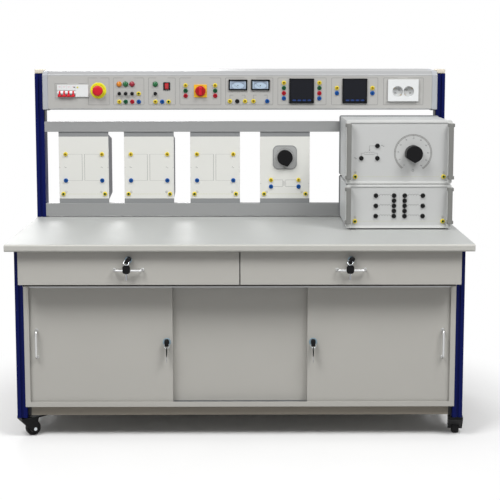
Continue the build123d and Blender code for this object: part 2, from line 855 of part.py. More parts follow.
def make_drawer_tray(side, label):
    """Open tray with a slide rail along each side."""
    spans = (side * tray_inner, side * tray_outer)
    depths = (drawer_front_back, drawer_front_back + tray_length)
    top = tray_top
    wall = tray_wall
    rail_band = (runner_bottom + runner_wall + slide_gap,
                 runner_bottom + runner_height - runner_wall - slide_gap)
    rail_width = runner_width - runner_wall
    with BuildPart() as tray:
        slab(spans, depths, (tray_bottom, top))
        slab((spans[0] + side * wall, spans[1] - side * wall), (depths[0] + wall, depths[1] - wall),
             (tray_bottom + wall, top), Mode.SUBTRACT)
        rail_depths = (housing_front + 2 * housing_clearance, depths[1])
        for edge, out in ((spans[0], -side), (spans[1], side)):
            slab((edge, edge + out * rail_width), rail_depths, rail_band)
            slab((edge + out * wall, edge + out * rail_width), rail_depths,
                 (rail_band[0] + wall, rail_band[1] - wall), Mode.SUBTRACT)
    save(tray, label)


def make_drawer_front(side, label):
    """Folded sheet front with two ribs that the tray is bolted to."""
    spans = (side * drawer_seam / 2, side * drawer_front_side)
    depths = (drawer_front_inset, drawer_front_back)
    band = (drawer_front_bottom, drawer_front_top)
    skin = door_sheet
    centre = side * drawer_centre
    with BuildPart() as front:
        slab(spans, depths, band)
        slab((spans[0] + side * skin, spans[1] - side * skin), (depths[0] + skin, depths[1]),
             (band[0] + skin, band[1] - skin), Mode.SUBTRACT)
        for rib in (-rib_offset, rib_offset):
            slab(about(centre + rib, rib_width), (depths[0] + skin, depths[1]), band)
        rod(centre, drawer_front_top - drawer_lock_drop, lock_barrel_radius + lock_hole_clearance,
            (depths[0], depths[0] + skin), Mode.SUBTRACT)
    save(front, label)


def make_panel_rails():
    """Lower and upper rail with a slot for the edges of the modules."""
    depths = (rail_front, rail_front + rail_depth)
    slot = (module_front - module_slot_clearance, module_panel_back + module_slot_clearance)
    wall = rail_wall
    with BuildPart() as rails:
        bands = ((lower_rail_bottom, lower_rail_top), (upper_rail_bottom, upper_rail_top))
        for band in bands:
            slab((-rail_half, rail_half), depths, band)
        hollow = (slot[1] + wall, depths[1] - wall)
        for band in bands:
            slab((-rail_half, rail_half), hollow, (band[0] + wall, band[1] - wall), Mode.SUBTRACT)
        slab((-rail_half, rail_half), slot,
             (lower_rail_top - module_slot_depth, lower_rail_top), Mode.SUBTRACT)
        slab((-rail_half, rail_half), slot,
             (upper_rail_bottom, upper_rail_bottom + module_slot_depth), Mode.SUBTRACT)
    save(rails, "panel_rails")


def make_module_panels():
    """Front plates of the four modules; the last one has a hole for its knob's shaft."""
    with BuildPart() as panels:
        for centre in module_centres:
            slab(about(centre, module_width), (module_front, module_panel_back),
                 (module_bottom, module_bottom + module_height))
        dial_x = module_centres[-1]
        with BuildSketch(front_plane(module_front)):
            with Locations((dial_x, module_dial_height)):
                RectangleRounded(module_dial_size, module_dial_size, module_dial_corner)
        extrude(amount=module_dial_thickness)
        rod(dial_x, module_dial_height, knob_shaft_radius + running_fit,
            (module_front - module_dial_thickness, module_panel_back), Mode.SUBTRACT)
    save(panels, "module_panels")


def module_case_profile(wall):
    """Side profile of a module's cover, lower and shorter towards the rear, inside a wall."""
    front, rear = y_at(module_panel_back), y_at(module_back - wall)
    low_front, high_front = module_case_front
    low_rear, high_rear = module_case_rear
    corners = [(front, low_front + wall), (rear, low_rear + wall),
               (rear, high_rear - wall), (front, high_front - wall)]
    return corners + corners[:1]


def make_module_cases():
    """Covers behind the module panels, open at the front where the panel closes them."""
    with BuildPart() as cases:
        for centre in module_centres:
            for wall, mode in ((0.0, Mode.ADD), (module_case_wall, Mode.SUBTRACT)):
                half = module_case_width / 2 - wall
                with BuildSketch(Plane.YZ.offset(centre - half)):
                    with BuildLine():
                        Polyline(module_case_profile(wall))
                    make_face()
                extrude(amount=2 * half, mode=mode)
    save(cases, "module_cases")


def make_cores():
    """Laminated cores with their windings, the ring resistor and the two instruments' windings."""
    coil_depths = (module_panel_back, module_panel_back + coil_depth)
    core_middle = module_panel_back + coil_depth / 2
    with BuildPart() as cores:
        for centre in module_centres[:-1]:
            slab(about(centre, core_width), about(core_middle, core_depth),
                 about(core_centre_height, core_height))
            slab(about(centre, coil_width), coil_depths, about(core_centre_height, coil_height))
        dial_x = module_centres[-1]
        rod(dial_x, module_dial_height, rheostat_radius,
            (module_panel_back, module_panel_back + rheostat_depth))
        rod(dial_x, module_dial_height, knob_shaft_radius + running_fit,
            (module_panel_back, module_panel_back + rheostat_depth), Mode.SUBTRACT)
        plate_back = instrument_plate_front + instrument_plate
        rod(regulator_knob_x, regulator_knob_z, variac_radius, (plate_back, plate_back + variac_depth))
        rod(regulator_knob_x, regulator_knob_z, knob_shaft_radius + running_fit,
            (plate_back, plate_back + variac_depth), Mode.SUBTRACT)
        base = lower_case_bottom + case_inset + case_wall
        middle = instrument_front + instrument_depth / 2
        frame_half = limb_pitch + limb_width / 2
        for band in ((0, yoke_height), (yoke_height + limb_height, 2 * yoke_height + limb_height)):
            slab((instrument_centre - frame_half, instrument_centre + frame_half),
                 about(middle, limb_depth), (base + band[0], base + band[1]))
        for step in (-1, 0, 1):
            limb_x = instrument_centre + step * limb_pitch
            with Locations((limb_x, y_at(middle), base + yoke_height)):
                Cylinder(winding_radius, limb_height, align=(Align.CENTER, Align.CENTER, Align.MIN))
    save(cores, "transformer_cores")


def make_module_knob():
    """Round knob with a pointer nose and a shaft into the ring resistor."""
    x, z = module_centres[-1], module_dial_height
    back = module_front - module_dial_thickness - knob_gap
    nose = math.radians(module_knob_nose_angle)
    reach = module_knob_radius
    side = math.acos(reach / module_knob_nose)
    points = [
        (x + reach * math.cos(nose - side), z + reach * math.sin(nose - side)),
        (x + module_knob_nose * math.cos(nose), z + module_knob_nose * math.sin(nose)),
        (x + reach * math.cos(nose + side), z + reach * math.sin(nose + side)),
    ]
    with BuildPart() as knob:
        with BuildSketch(front_plane(back)):
            with Locations((x, z)):
                Circle(reach)
            with BuildLine():
                Polyline([(x, z)] + points + [(x, z)])
            make_face()
        extrude(amount=module_knob_height)
        fillet(knob.faces().sort_by(Axis.Y)[0].edges(), radius=2)
        rod(x, z, knob_shaft_radius, (back, module_panel_back + rheostat_depth))
    save(knob, "module_knob")


def make_regulator_knob():
    """Large round knob with one flat, whose corners stand out a little."""
    x, z = regulator_knob_x, regulator_knob_z
    back = instrument_plate_front - knob_gap
    reach = regulator_knob_radius
    spread = regulator_knob_flat_spread
    corner = regulator_knob_flat / math.cos(math.radians(spread))
    touch = spread + math.degrees(math.acos(reach / corner))
    rays = [(reach, -touch), (corner, -spread), (corner, spread), (reach, touch)]
    points = []
    for length, turn in rays:
        angle = math.radians(regulator_knob_flat_angle + turn)
        points.append((x + length * math.cos(angle), z + length * math.sin(angle)))
    rim = regulator_knob_flat_angle + touch
    plate_back = instrument_plate_front + instrument_plate
    with BuildPart() as knob:
        with BuildSketch(front_plane(back)):
            with BuildLine():
                Polyline(points)
                CenterArc((x, z), reach, rim, 360 - 2 * touch)
            make_face()
        extrude(amount=regulator_knob_height)
        fillet(knob.faces().sort_by(Axis.Y)[0].edges(), radius=3)
        rod(x, z, knob_shaft_radius, (back, plate_back + variac_depth))
    save(knob, "regulator_knob")


def console_outline(inset):
    """Section of the console in the YZ plane, drawn smaller by an inset."""
    front = y_at(console_front_depth)
    back = y_at(console_front_depth + console_depth)
    with BuildSketch() as section:
        with BuildLine():
            Polyline([(front, console_bottom), (back, console_bottom), (back, console_rear_top),
                      (front + console_slope, console_crest_top), (front, console_front_top),
                      (front, console_bottom)])
        make_face()
        corners = section.vertices().filter_by(lambda corner: corner.X < back - 1)
        fillet(corners, radius=console_radius)
        if inset > 0:
            offset(amount=-inset, mode=Mode.REPLACE)
    return section.sketch


def make_console_shell():
    """Trunking with a window at the front that the device plate covers."""
    start = -rail_half + console_cap_length
    length = 2 * (rail_half - console_cap_length)
    seat = console_front_depth + panel_plate
    window = (console_bottom + console_radius + console_window_lip,
              console_front_top - console_radius - console_window_lip)
    seat_band = (console_bottom + console_radius, console_front_top - console_radius)
    outer = console_outline(0.0)
    inner = console_outline(console_wall)
    with BuildPart() as shell:
        with BuildSketch(Plane.YZ.offset(start)):
            add(outer)
        extrude(amount=length)
        with BuildSketch(Plane.YZ.offset(start)):
            add(inner)
        extrude(amount=length, mode=Mode.SUBTRACT)
        slab((start, -start), (console_front_depth, seat), seat_band, Mode.SUBTRACT)
        slab((start, -start), (seat, seat + panel_plate), (seat_band[0] - panel_plate, window[0]))
        slab((start, -start), (seat, seat + panel_plate), (window[1], seat_band[1] + panel_plate))
    save(shell, "console_shell")


def make_console_front():
    """Device plate of the console with the cut-outs of the devices."""
    half = rail_half - console_cap_length
    depths = (console_front_depth, console_front_depth + panel_plate)
    band = (console_bottom + console_radius, console_front_top - console_radius)
    with BuildPart() as plate:
        slab((-half, half), depths, band)
        slab(about(breaker_centre, breaker_width), depths,
             about(breaker_height, breaker_nose_height), Mode.SUBTRACT)
        rod(*estop_centre, estop_stem_radius + slide_gap, depths, Mode.SUBTRACT)
        rod(*rotary_centre, knob_shaft_radius + slide_gap, depths, Mode.SUBTRACT)
        slab(about(rocker_centre[0], rocker_length + 2 * slide_gap), depths,
             about(rocker_centre[1], 2 * (rocker_radius + slide_gap)), Mode.SUBTRACT)
        for x, z in analog_centres:
            slab(about(x, analog_body_width), depths, about(z, analog_body_height), Mode.SUBTRACT)
        for x, z in digital_centres:
            slab(about(x, digital_body), depths, about(z, digital_body), Mode.SUBTRACT)
        slab(about(outlet_centre[0], outlet_body_width), depths,
             about(outlet_centre[1], outlet_body_height), Mode.SUBTRACT)
    save(plate, "console_front")


def toggle_pivot():
    """Depth and height of the breaker toggles' pivot, and the X where the toggles start."""
    start = breaker_centre - breaker_width / 2 + 1
    return console_front_depth, breaker_height + toggle_slot_offset, start


def make_breaker_body():
    """Modular breaker with the toggle slot and the test button's hole."""
    front = console_front_depth - breaker_nose_reach
    behind = console_front_depth + panel_plate
    depth, height, start = toggle_pivot()
    toggles_width = toggle_poles * toggle_pole_pitch
    with BuildPart() as body:
        slab(about(breaker_centre, breaker_width), (front, behind),
             about(breaker_height, breaker_nose_height))
        slab(about(breaker_centre, breaker_width), (behind, behind + breaker_body_depth),
             about(breaker_height, breaker_body_height))
        slab((start, start + toggles_width), (front, depth + toggle_hub_radius + 1),
             about(height, toggle_slot_height), Mode.SUBTRACT)
        slab(about(test_button_x, test_button_size + 2 * slide_gap), (front, behind),
             about(test_button_z, test_button_size + 2 * slide_gap), Mode.SUBTRACT)
    save(body, "breaker_body")


def make_breaker_toggles():
    """Four levers on one hub, tied together, turning about X."""
    depth, height, start = toggle_pivot()
    toggles_width = toggle_poles * toggle_pole_pitch
    pivot = (y_at(depth), height)
    turn = 180 - toggle_rest_angle
    with BuildPart() as toggles:
        with BuildSketch(Plane.YZ.offset(start + slide_gap)):
            with Locations(pivot):
                Circle(toggle_hub_radius)
        extrude(amount=toggles_width - 2 * slide_gap)
        for pole in range(toggle_poles):
            middle = start + (pole + 0.5) * toggle_pole_pitch
            with BuildSketch(Plane.YZ.offset(middle - toggle_lever_width / 2)):
                with Locations(pivot):
                    Rectangle(toggle_lever_length, toggle_lever_thickness, rotation=turn,
                              align=(Align.MIN, Align.CENTER))
            extrude(amount=toggle_lever_width)
        tie_start = start + toggle_pole_pitch / 2 - toggle_lever_width / 2
        tie_length = (toggle_poles - 1) * toggle_pole_pitch + toggle_lever_width
        away = toggle_lever_length - toggle_lever_thickness / 2
        tie = (pivot[0] + away * math.cos(math.radians(turn)),
               pivot[1] + away * math.sin(math.radians(turn)))
        with BuildSketch(Plane.YZ.offset(tie_start)):
            with Locations(tie):
                Rectangle(toggle_lever_thickness, toggle_lever_thickness, rotation=turn)
        extrude(amount=tie_length)
    save(toggles, "breaker_toggles")


def make_test_button():
    """Small square push button of the breaker."""
    front = console_front_depth - breaker_nose_reach - test_button_travel
    back = console_front_depth + panel_plate - test_button_travel - slide_gap
    with BuildPart() as button:
        slab(about(test_button_x, test_button_size), (front, back), about(test_button_z, test_button_size))
    save(button, "breaker_test_button")


def make_switch_plates():
    """Round collar of the stop button, square plate of the rotary switch and bezel of the rocker."""
    face = console_front_depth
    with BuildPart() as plates:
        rod(*estop_centre, estop_collar_radius, (face - panel_plate, face))
        rod(*estop_centre, estop_stem_radius + running_fit, (face - panel_plate, face), Mode.SUBTRACT)
        slab(about(rotary_centre[0], rotary_plate_size), (face - panel_plate, face),
             about(rotary_centre[1], rotary_plate_size))
        rod(*rotary_centre, knob_shaft_radius + running_fit, (face - panel_plate, face), Mode.SUBTRACT)
        slab(about(rocker_centre[0], rocker_bezel_width), (face - panel_plate, face),
             about(rocker_centre[1], rocker_bezel_height))
        slab(about(rocker_centre[0], rocker_length + 2 * slide_gap), (face - panel_plate, face),
             about(rocker_centre[1], 2 * (rocker_radius + slide_gap)), Mode.SUBTRACT)
    save(plates, "switch_plates")


def make_estop_button():
    """Mushroom head on a stem that slides in the collar."""
    head_back = console_front_depth - estop_reach + estop_head_length
    stem_end = console_front_depth + panel_plate + estop_travel
    with BuildPart() as button:
        rod(*estop_centre, estop_head_radius, (head_back - estop_head_length, head_back))
        fillet(button.faces().sort_by(Axis.Y)[0].edges(), radius=4)
        rod(*estop_centre, estop_stem_radius, (head_back, stem_end))
    save(button, "estop_button")


def make_rotary_knob():
    """Round base with a bar grip and a shaft through the plate."""
    back = console_front_depth - panel_plate - knob_gap
    base_front = back - rotary_knob_base
    with BuildPart() as knob:
        rod(*rotary_centre, rotary_knob_radius, (base_front, back))
        slab(about(rotary_centre[0], rotary_grip_width), (base_front - rotary_grip_height, base_front),
             about(rotary_centre[1], rotary_grip_length - rotary_grip_width))
        rod(*rotary_centre, knob_shaft_radius, (back, console_front_depth + panel_plate))
    save(knob, "rotary_switch_knob")


def make_rocker():
    """Rocker cut from a round bar, with two flat faces that meet at a shallow V."""
    x, z = rocker_centre
    pivot = (y_at(console_front_depth + rocker_pivot_depth), z)
    turn = 180 + rocker_tilt
    with BuildPart() as rocker:
        with BuildSketch(Plane.YZ.offset(x - rocker_length / 2)):
            with Locations(pivot):
                Circle(rocker_radius)
            for bend in (-rocker_tilt, rocker_tilt):
                angle = math.radians(turn + bend)
                edge = (pivot[0] + rocker_face * math.cos(angle), pivot[1] + rocker_face * math.sin(angle))
                with Locations(edge):
                    Rectangle(rocker_radius, 4 * rocker_radius, rotation=turn + bend,
                              align=(Align.MIN, Align.CENTER), mode=Mode.SUBTRACT)
        extrude(amount=rocker_length)
    save(rocker, "rocker_button")


def make_meters():
    """Moving-coil meters and square digital meters, each with its body behind the plate."""
    face = console_front_depth
    behind = face + panel_plate
    with BuildPart() as analog:
        for x, z in analog_centres:
            slab(about(x, analog_width), (face - analog_reach, face), about(z, analog_height))
            slab(about(x, analog_body_width), (face, behind + analog_body_depth),
                 about(z, analog_body_height))
    save(analog, "analog_meters")
    with BuildPart() as digital:
        for x, z in digital_centres:
            slab(about(x, digital_size), (face - digital_reach, face), about(z, digital_size))
            slab(about(x, digital_body), (face, behind + digital_body_depth), about(z, digital_body))
    save(digital, "digital_meters")


def make_outlet():
    """Double mains socket with two round wells and their pin holes."""
    face = console_front_depth
    x, z = outlet_centre
    front = face - outlet_reach
    well_z = z - outlet_well_drop
    with BuildPart() as outlet:
        slab(about(x, outlet_width), (front, face), about(z, outlet_height))
        slab(about(x, outlet_body_width), (face, face + outlet_body_depth), about(z, outlet_body_height))
        for side in (-1, 1):
            well_x = x + side * outlet_well_spread / 2
            well_floor = front + outlet_well_depth
            rod(well_x, well_z, outlet_well_radius, (front, well_floor), Mode.SUBTRACT)
            for end in (-1, 1):
                turn = math.radians(45) if side < 0 else math.radians(-45)
                pin_x = well_x + end * outlet_pin_spread / 2 * math.cos(turn)
                pin_z = well_z + end * outlet_pin_spread / 2 * math.sin(turn)
                rod(pin_x, pin_z, outlet_pin_radius,
                    (well_floor, well_floor + outlet_pin_depth), Mode.SUBTRACT)
    save(outlet, "power_outlet")


def make_lamps_and_fuses():
    """Signal lamps and fuse holders on the console plate."""
    face = console_front_depth
    with BuildPart() as lamps:
        for x in lamp_columns:
            rod(x, lamp_height, lamp_radius, (face - lamp_reach, face))
        fillet(lamps.faces().group_by(Axis.Y)[0].edges(), radius=4)
    save(lamps, "pilot_lamps")
    with BuildPart() as fuses:
        for x in lamp_columns:
            rod(x, fuse_height, fuse_radius, (face - fuse_reach, face))
        fillet(fuses.faces().group_by(Axis.Y)[0].edges(), radius=1.5)
    save(fuses, "fuse_holders")


def grid(centre, steps, base, rises):
    """X and Z of places in columns about a centre and in rows above a base."""
    return [(centre + step, base + rise) for step in steps for rise in rises]


def console_socket_places():
    """X and Z of each safety socket on the console."""
    base = console_bottom
    places = grid(supply_x, supply_socket_steps, base, [socket_row_rise])
    places += grid(supply_x, supply_socket_steps[-1:], base, [fuse_rise])
    places += grid(rocker_centre[0], rocker_socket_steps, base, [socket_row_rise])
    places += grid(rotary_centre[0], rotary_socket_steps, base, rotary_socket_rises)
    places += grid(analog_x, analog_socket_steps, base, [analog_socket_rise])
    places += grid(digital_centres[0][0], phase_socket_steps, base, phase_socket_rises)
    places += grid(digital_centres[1][0], load_socket_steps, base, load_socket_rises)
    return places


def module_socket_places():
    """X and Z of each safety socket on the modules."""
    places = []
    main = [-module_socket_spread, module_socket_spread]
    for centre in module_centres[:-1]:
        places += grid(centre, main, module_bottom, module_socket_rises)
    beside_dial = [-dial_socket_spread, dial_socket_spread]
    places += grid(module_centres[-1], beside_dial, module_bottom, dial_socket_rises)
    earth = [-earth_socket_spread, earth_socket_spread]
    for centre in module_centres:
        places += grid(centre, earth, module_bottom, [earth_socket_rise])
    return places


def instrument_socket_places():
    """X and Z of each safety socket on the two instruments."""
    middle = instrument_centre + winding_socket_shift
    rows = [winding_socket_rise + step * winding_socket_pitch for step in (2, 1, 0, -1, -2)]
    places = grid(middle, [-winding_inner_spread, winding_inner_spread], lower_case_bottom, rows)
    places += grid(middle, [-winding_outer_spread, winding_outer_spread], lower_case_bottom, rows[::2])
    places += [(instrument_centre + step, upper_case_bottom + rise) for step, rise in output_sockets]
    places += grid(instrument_centre, earth_columns, lower_case_bottom, earth_rises[:1])
    places += grid(instrument_centre, earth_columns, upper_case_bottom, earth_rises[1:])
    return places


def make_safety_sockets():
    """Shrouded 4 mm sockets, alike on the console, the modules and the instruments."""
    groups = [
        (console_front_depth, console_socket_places()),
        (module_front, module_socket_places()),
        (instrument_plate_front, instrument_socket_places()),
    ]
    with BuildPart() as sockets:
        for face, places in groups:
            spots = [(x, z) for x, z in places]
            with BuildSketch(front_plane(face)):
                with Locations(*spots):
                    Circle(socket_radius)
            extrude(amount=socket_collar)
            with BuildSketch(front_plane(face)):
                with Locations(*spots):
                    Circle(socket_nose_radius)
            extrude(amount=socket_reach)
            with BuildSketch(front_plane(face)):
                with Locations(*spots):
                    Circle(socket_bore_radius)
            extrude(amount=socket_reach, mode=Mode.SUBTRACT)
    save(sockets, "safety_sockets")


def instrument_bands():
    """Bottom and top of each instrument, the lower one first."""
    return (
        (lower_case_bottom, lower_case_bottom + lower_case_height),
        (upper_case_bottom, upper_case_bottom + upper_case_height),
    )


def frame_ring(depth, thickness, band, lip_at_front):
    """Moulded ring of an instrument case with a lip and a rabbet for its plate."""
    width, height = instrument_width, band[1] - band[0]
    middle = (band[0] + band[1]) / 2
    open_width = width - 2 * frame_side_bar
    open_height = height - 2 * frame_top_bar
    lip_start = depth if lip_at_front else depth + thickness - frame_lip
    with BuildPart() as ring:
        with BuildSketch(front_plane(depth + thickness)):
            with Locations((instrument_centre, middle)):
                RectangleRounded(width, height, frame_corner)
                Rectangle(open_width + 2 * frame_rabbet, open_height + 2 * frame_rabbet, mode=Mode.SUBTRACT)
        extrude(amount=thickness)
        with BuildSketch(front_plane(lip_start + frame_lip)):
            with Locations((instrument_centre, middle)):
                Rectangle(open_width + 2 * frame_rabbet, open_height + 2 * frame_rabbet)
                Rectangle(open_width, open_height, mode=Mode.SUBTRACT)
        extrude(amount=frame_lip)
    return ring.part


def make_instrument_cases():
    """Wrapped sheet bodies between a front and a rear frame, with vents and feet."""
    width = instrument_width - 2 * case_inset
    body_front = instrument_front + frame_depth
    body_back = instrument_front + instrument_depth - rear_frame_depth
    rings = []
    for band in instrument_bands():
        rings.append(frame_ring(instrument_front, frame_depth, band, True))
        rings.append(frame_ring(body_back, rear_frame_depth, band, False))
    with BuildPart() as cases:
        for ring in rings:
            add(ring)
        for index, band in enumerate(instrument_bands()):
            body = (band[0] + case_inset, band[1] - case_inset)
            hollow = (body[0] + case_wall, body[1] - case_wall)
            slab(about(instrument_centre, width), (body_front, body_back), body)
            slab(about(instrument_centre, width - 2 * case_wall), (body_front, body_back),
                 hollow, Mode.SUBTRACT)
            vent_count = int((body[1] - body[0] - 2 * vent_margin) // vent_pitch) + 1
            vent_middle = y_at(body_front + vent_margin + vent_length / 2)
            with Locations((instrument_centre, vent_middle, (body[0] + body[1]) / 2)):
                with GridLocations(width, 1, 2, 1):
                    with Locations(*[(0, 0, (step - (vent_count - 1) / 2) * vent_pitch)
                                     for step in range(vent_count)]):
                        Box(4 * case_wall, vent_length, vent_height, mode=Mode.SUBTRACT)
            foot_height = instrument_foot if index == 0 else stack_gap - stack_seat
            spread = instrument_width / 2 - foot_inset
            foot_depths = (instrument_front + foot_inset / 2,
                           instrument_front + instrument_depth - foot_inset / 2)
            for side in (-1, 1):
                for depth in foot_depths:
                    with Locations((instrument_centre + side * spread, y_at(depth), band[0] - foot_height)):
                        Cylinder(foot_radius, foot_height, align=(Align.CENTER, Align.CENTER, Align.MIN))
    save(cases, "instrument_cases")


def make_instrument_panels():
    """Front and rear plates, seated in the rabbets of the frames."""
    back = instrument_front + instrument_depth - frame_lip
    width = instrument_width - 2 * (frame_side_bar - frame_rabbet)
    with BuildPart() as panels:
        for band in instrument_bands():
            inner = (band[0] + frame_top_bar - frame_rabbet, band[1] - frame_top_bar + frame_rabbet)
            slab(about(instrument_centre, width),
                 (instrument_plate_front, instrument_plate_front + instrument_plate), inner)
            slab(about(instrument_centre, width), (back - instrument_plate, back), inner)
        rod(regulator_knob_x, regulator_knob_z, knob_shaft_radius + running_fit,
            (instrument_plate_front, instrument_plate_front + instrument_plate), Mode.SUBTRACT)
    save(panels, "instrument_panels")


def make_rack_handles():
    """Upright grips on the front frames of both instruments."""
    front = instrument_front - rack_handle_reach
    with BuildPart() as handles:
        for band in instrument_bands():
            low = band[0] + rack_handle_low_margin
            high = band[1] - rack_handle_high_margin
            for side in (-1, 1):
                middle = instrument_centre + side * rack_handle_offset
                inner = middle - side * rack_handle_width / 2
                outer = middle + side * rack_handle_width / 2
                slab((inner, outer), (front, front + rack_handle_thickness), (low, high))
                posts = ((low, low + rack_handle_post), (high - rack_handle_post, high))
                for post in posts:
                    slab((inner, outer + side * rack_handle_ear),
                         (front + rack_handle_ear, instrument_front), post)
        fillet(handles.edges().filter_by(Axis.Z).group_by(Axis.Y)[0], radius=rack_handle_radius)
    save(handles, "instrument_handles")


def make_frame():
    """Table, posts, stretchers, brackets and rails."""
    make_table_top()
    make_posts("base_legs", leg_x, leg_depths, leg_bottom, table_bottom)
    make_posts("uprights", upright_x, (upright_depth,), table_height, upright_top)
    make_end_caps()
    make_stretchers()
    make_brackets()
    make_panel_rails()


def make_castors():
    """Four swivel castors; the front ones have a brake pedal."""
    for name in castor_angles:
        make_castor_fork(name)
        make_castor_wheel(name)
        if name.startswith("front"):
            make_castor_pedal(name)


def make_storage():
    """Cabinet, drawers, doors, handles and locks."""
    make_cabinet_shell()
    make_cabinet_back()
    make_centre_panel()
    make_door_tracks()
    make_drawer_housing()
    make_runners()
    for side, name in ((-1, "left"), (1, "right")):
        make_drawer_tray(side, f"drawer_{name}_tray")
        make_drawer_front(side, f"drawer_{name}_front")
        x = side * drawer_centre
        handle_z = drawer_front_top - drawer_handle_drop
        lock_z = drawer_front_top - drawer_lock_drop
        make_handle(f"drawer_{name}_handle", x, handle_z, drawer_front_inset, False,
                    x, lock_z, lock_flange_radius)
        make_key(f"drawer_{name}_key", x, lock_z, drawer_front_inset, drawer_key_tilt, False,
                 spare_handle_gap)
        make_door(side, f"door_{name}")
        handle_x = side * (flange_half - flange_width - door_handle_inset)
        lock_x = side * (door_inner_edge + door_lock_inset)
        make_handle(f"door_{name}_handle", handle_x, door_handle_height, door_front, True,
                    lock_x, door_lock_height, door_lock_flange_radius)
        make_key(f"door_{name}_key", lock_x, door_lock_height, door_front, 0, True, 0)


def make_console():
    """Supply console with its devices."""
    make_console_shell()
    make_console_front()
    make_breaker_body()
    make_breaker_toggles()
    make_test_button()
    make_switch_plates()
    make_estop_button()
    make_rotary_knob()
    make_rocker()
    make_meters()
    make_outlet()
    make_lamps_and_fuses()


def make_experiment():
    """Modules, instruments, sockets and knobs."""
    make_module_panels()
    make_module_cases()
    make_cores()
    make_module_knob()
    make_instrument_cases()
    make_instrument_panels()
    make_rack_handles()
    make_regulator_knob()
    make_safety_sockets()


make_frame()
make_castors()
make_storage()
make_console()
make_experiment()
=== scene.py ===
"""Looks of the transformer training bench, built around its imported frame.

Shapes are written in millimetres as (x, depth, z): depth runs backwards from the front edge
of the table top, z runs up from the floor. Finished pieces are stored in metres.
"""

import json
import logging
import math
from dataclasses import dataclass, field
from enum import Enum

import bmesh
import bpy
from mathutils import Matrix, Vector

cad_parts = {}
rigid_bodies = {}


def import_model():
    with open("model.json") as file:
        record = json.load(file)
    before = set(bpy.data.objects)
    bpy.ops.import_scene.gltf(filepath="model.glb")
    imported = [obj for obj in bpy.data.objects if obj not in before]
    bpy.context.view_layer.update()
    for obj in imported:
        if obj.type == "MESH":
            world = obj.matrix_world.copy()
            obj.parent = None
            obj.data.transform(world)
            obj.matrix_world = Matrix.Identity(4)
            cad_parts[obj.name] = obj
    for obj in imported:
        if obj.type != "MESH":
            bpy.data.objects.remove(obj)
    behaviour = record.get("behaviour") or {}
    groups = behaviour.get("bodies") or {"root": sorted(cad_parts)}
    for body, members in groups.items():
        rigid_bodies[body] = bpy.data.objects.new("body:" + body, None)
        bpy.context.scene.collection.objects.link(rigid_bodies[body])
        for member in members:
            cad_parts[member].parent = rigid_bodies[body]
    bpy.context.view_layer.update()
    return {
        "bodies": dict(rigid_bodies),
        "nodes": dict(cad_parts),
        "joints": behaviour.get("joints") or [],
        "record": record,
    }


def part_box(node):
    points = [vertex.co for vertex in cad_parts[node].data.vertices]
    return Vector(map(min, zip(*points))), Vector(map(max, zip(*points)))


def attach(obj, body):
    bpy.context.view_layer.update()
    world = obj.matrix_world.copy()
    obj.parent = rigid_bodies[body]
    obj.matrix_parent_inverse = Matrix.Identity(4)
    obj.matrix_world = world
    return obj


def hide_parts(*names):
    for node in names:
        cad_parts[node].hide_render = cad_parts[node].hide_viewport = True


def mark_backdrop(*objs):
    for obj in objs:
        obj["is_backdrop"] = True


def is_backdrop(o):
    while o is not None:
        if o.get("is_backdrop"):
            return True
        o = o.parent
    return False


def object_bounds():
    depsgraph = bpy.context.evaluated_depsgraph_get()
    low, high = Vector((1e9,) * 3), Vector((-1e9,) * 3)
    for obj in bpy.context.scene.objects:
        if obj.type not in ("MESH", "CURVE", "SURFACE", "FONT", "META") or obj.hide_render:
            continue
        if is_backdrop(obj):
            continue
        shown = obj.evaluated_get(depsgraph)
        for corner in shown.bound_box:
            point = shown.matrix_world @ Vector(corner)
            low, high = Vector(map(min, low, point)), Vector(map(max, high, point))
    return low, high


MM = 0.001
FULL_TURN = 2 * math.pi
FACING = 0.99
MERGE = 0.001
# Scale and radius of the edge mask, which paints worn paint and a painted highlight on edges.
WEAR_HIGHLIGHT_SCALE = 40.0
DUST_SCALE = 9.0
GLOSS_SPREAD = 0.15
RELIEF_STRENGTH = 0.6
WEAR_HIGHLIGHT_RADIUS = 0.0012
SMOOTH_ANGLE = 50.0
LOG = logging.getLogger("bench")

Span = tuple[float, float]
Spot = tuple[float, float]
Colour = tuple[int, int, int]
Tree = bpy.types.NodeTree
Output = bpy.types.NodeSocket
Input = Output | float | tuple[float, ...]


@dataclass(frozen=True)
class Grain:
    """Fine relief of a surface: noise scale per metre, stretch of each axis, depth in metres."""

    scale: float
    stretch: tuple[float, float, float]
    depth: float


class Texture(Enum):
    """How a surface feels, from its making."""

    LAMINATE = Grain(1400.0, (1.0, 1.0, 1.0), 0.00003)
    POWDER = Grain(700.0, (1.0, 1.0, 1.0), 0.00006)
    BRUSHED = Grain(900.0, (0.03, 1.0, 1.0), 0.00003)
    MOULDED = Grain(500.0, (1.0, 1.0, 1.0), 0.00003)
    GLOSS = Grain(60.0, (1.0, 1.0, 1.0), 0.00001)
    RUBBER = Grain(900.0, (1.0, 1.0, 1.0), 0.0001)
    INK = Grain(1500.0, (1.0, 1.0, 1.0), 0.00002)


class Side(Enum):
    """Left or right half of the bench, as the user sees it."""

    LEFT = -1
    RIGHT = 1

    @property
    def word(self) -> str:
        """The side's name in node names."""
        return self.name.lower()


def linear(colour: Colour) -> tuple[float, float, float, float]:
    """Scene colour of a display colour.

    Args:
        colour: Red, green and blue from 0 to 255.

    Returns:
        The linear colour with full alpha.
    """
    parts = []
    for value in colour:
        share = value / 255
        parts.append(share / 12.92 if share <= 0.04045 else ((share + 0.055) / 1.055) ** 2.4)
    return (parts[0], parts[1], parts[2], 1.0)


def fill(tree: Tree, node: bpy.types.Node, inputs: dict[str | int, Input]) -> None:
    """Links sockets to a node's inputs, or sets constants there.

    Args:
        tree: The node's tree.
        node: The node.
        inputs: A socket or a constant for each input, by its title or its place.
    """
    for title, value in inputs.items():
        if isinstance(value, Output):
            tree.links.new(value, node.inputs[title])
        else:
            node.inputs[title].default_value = value


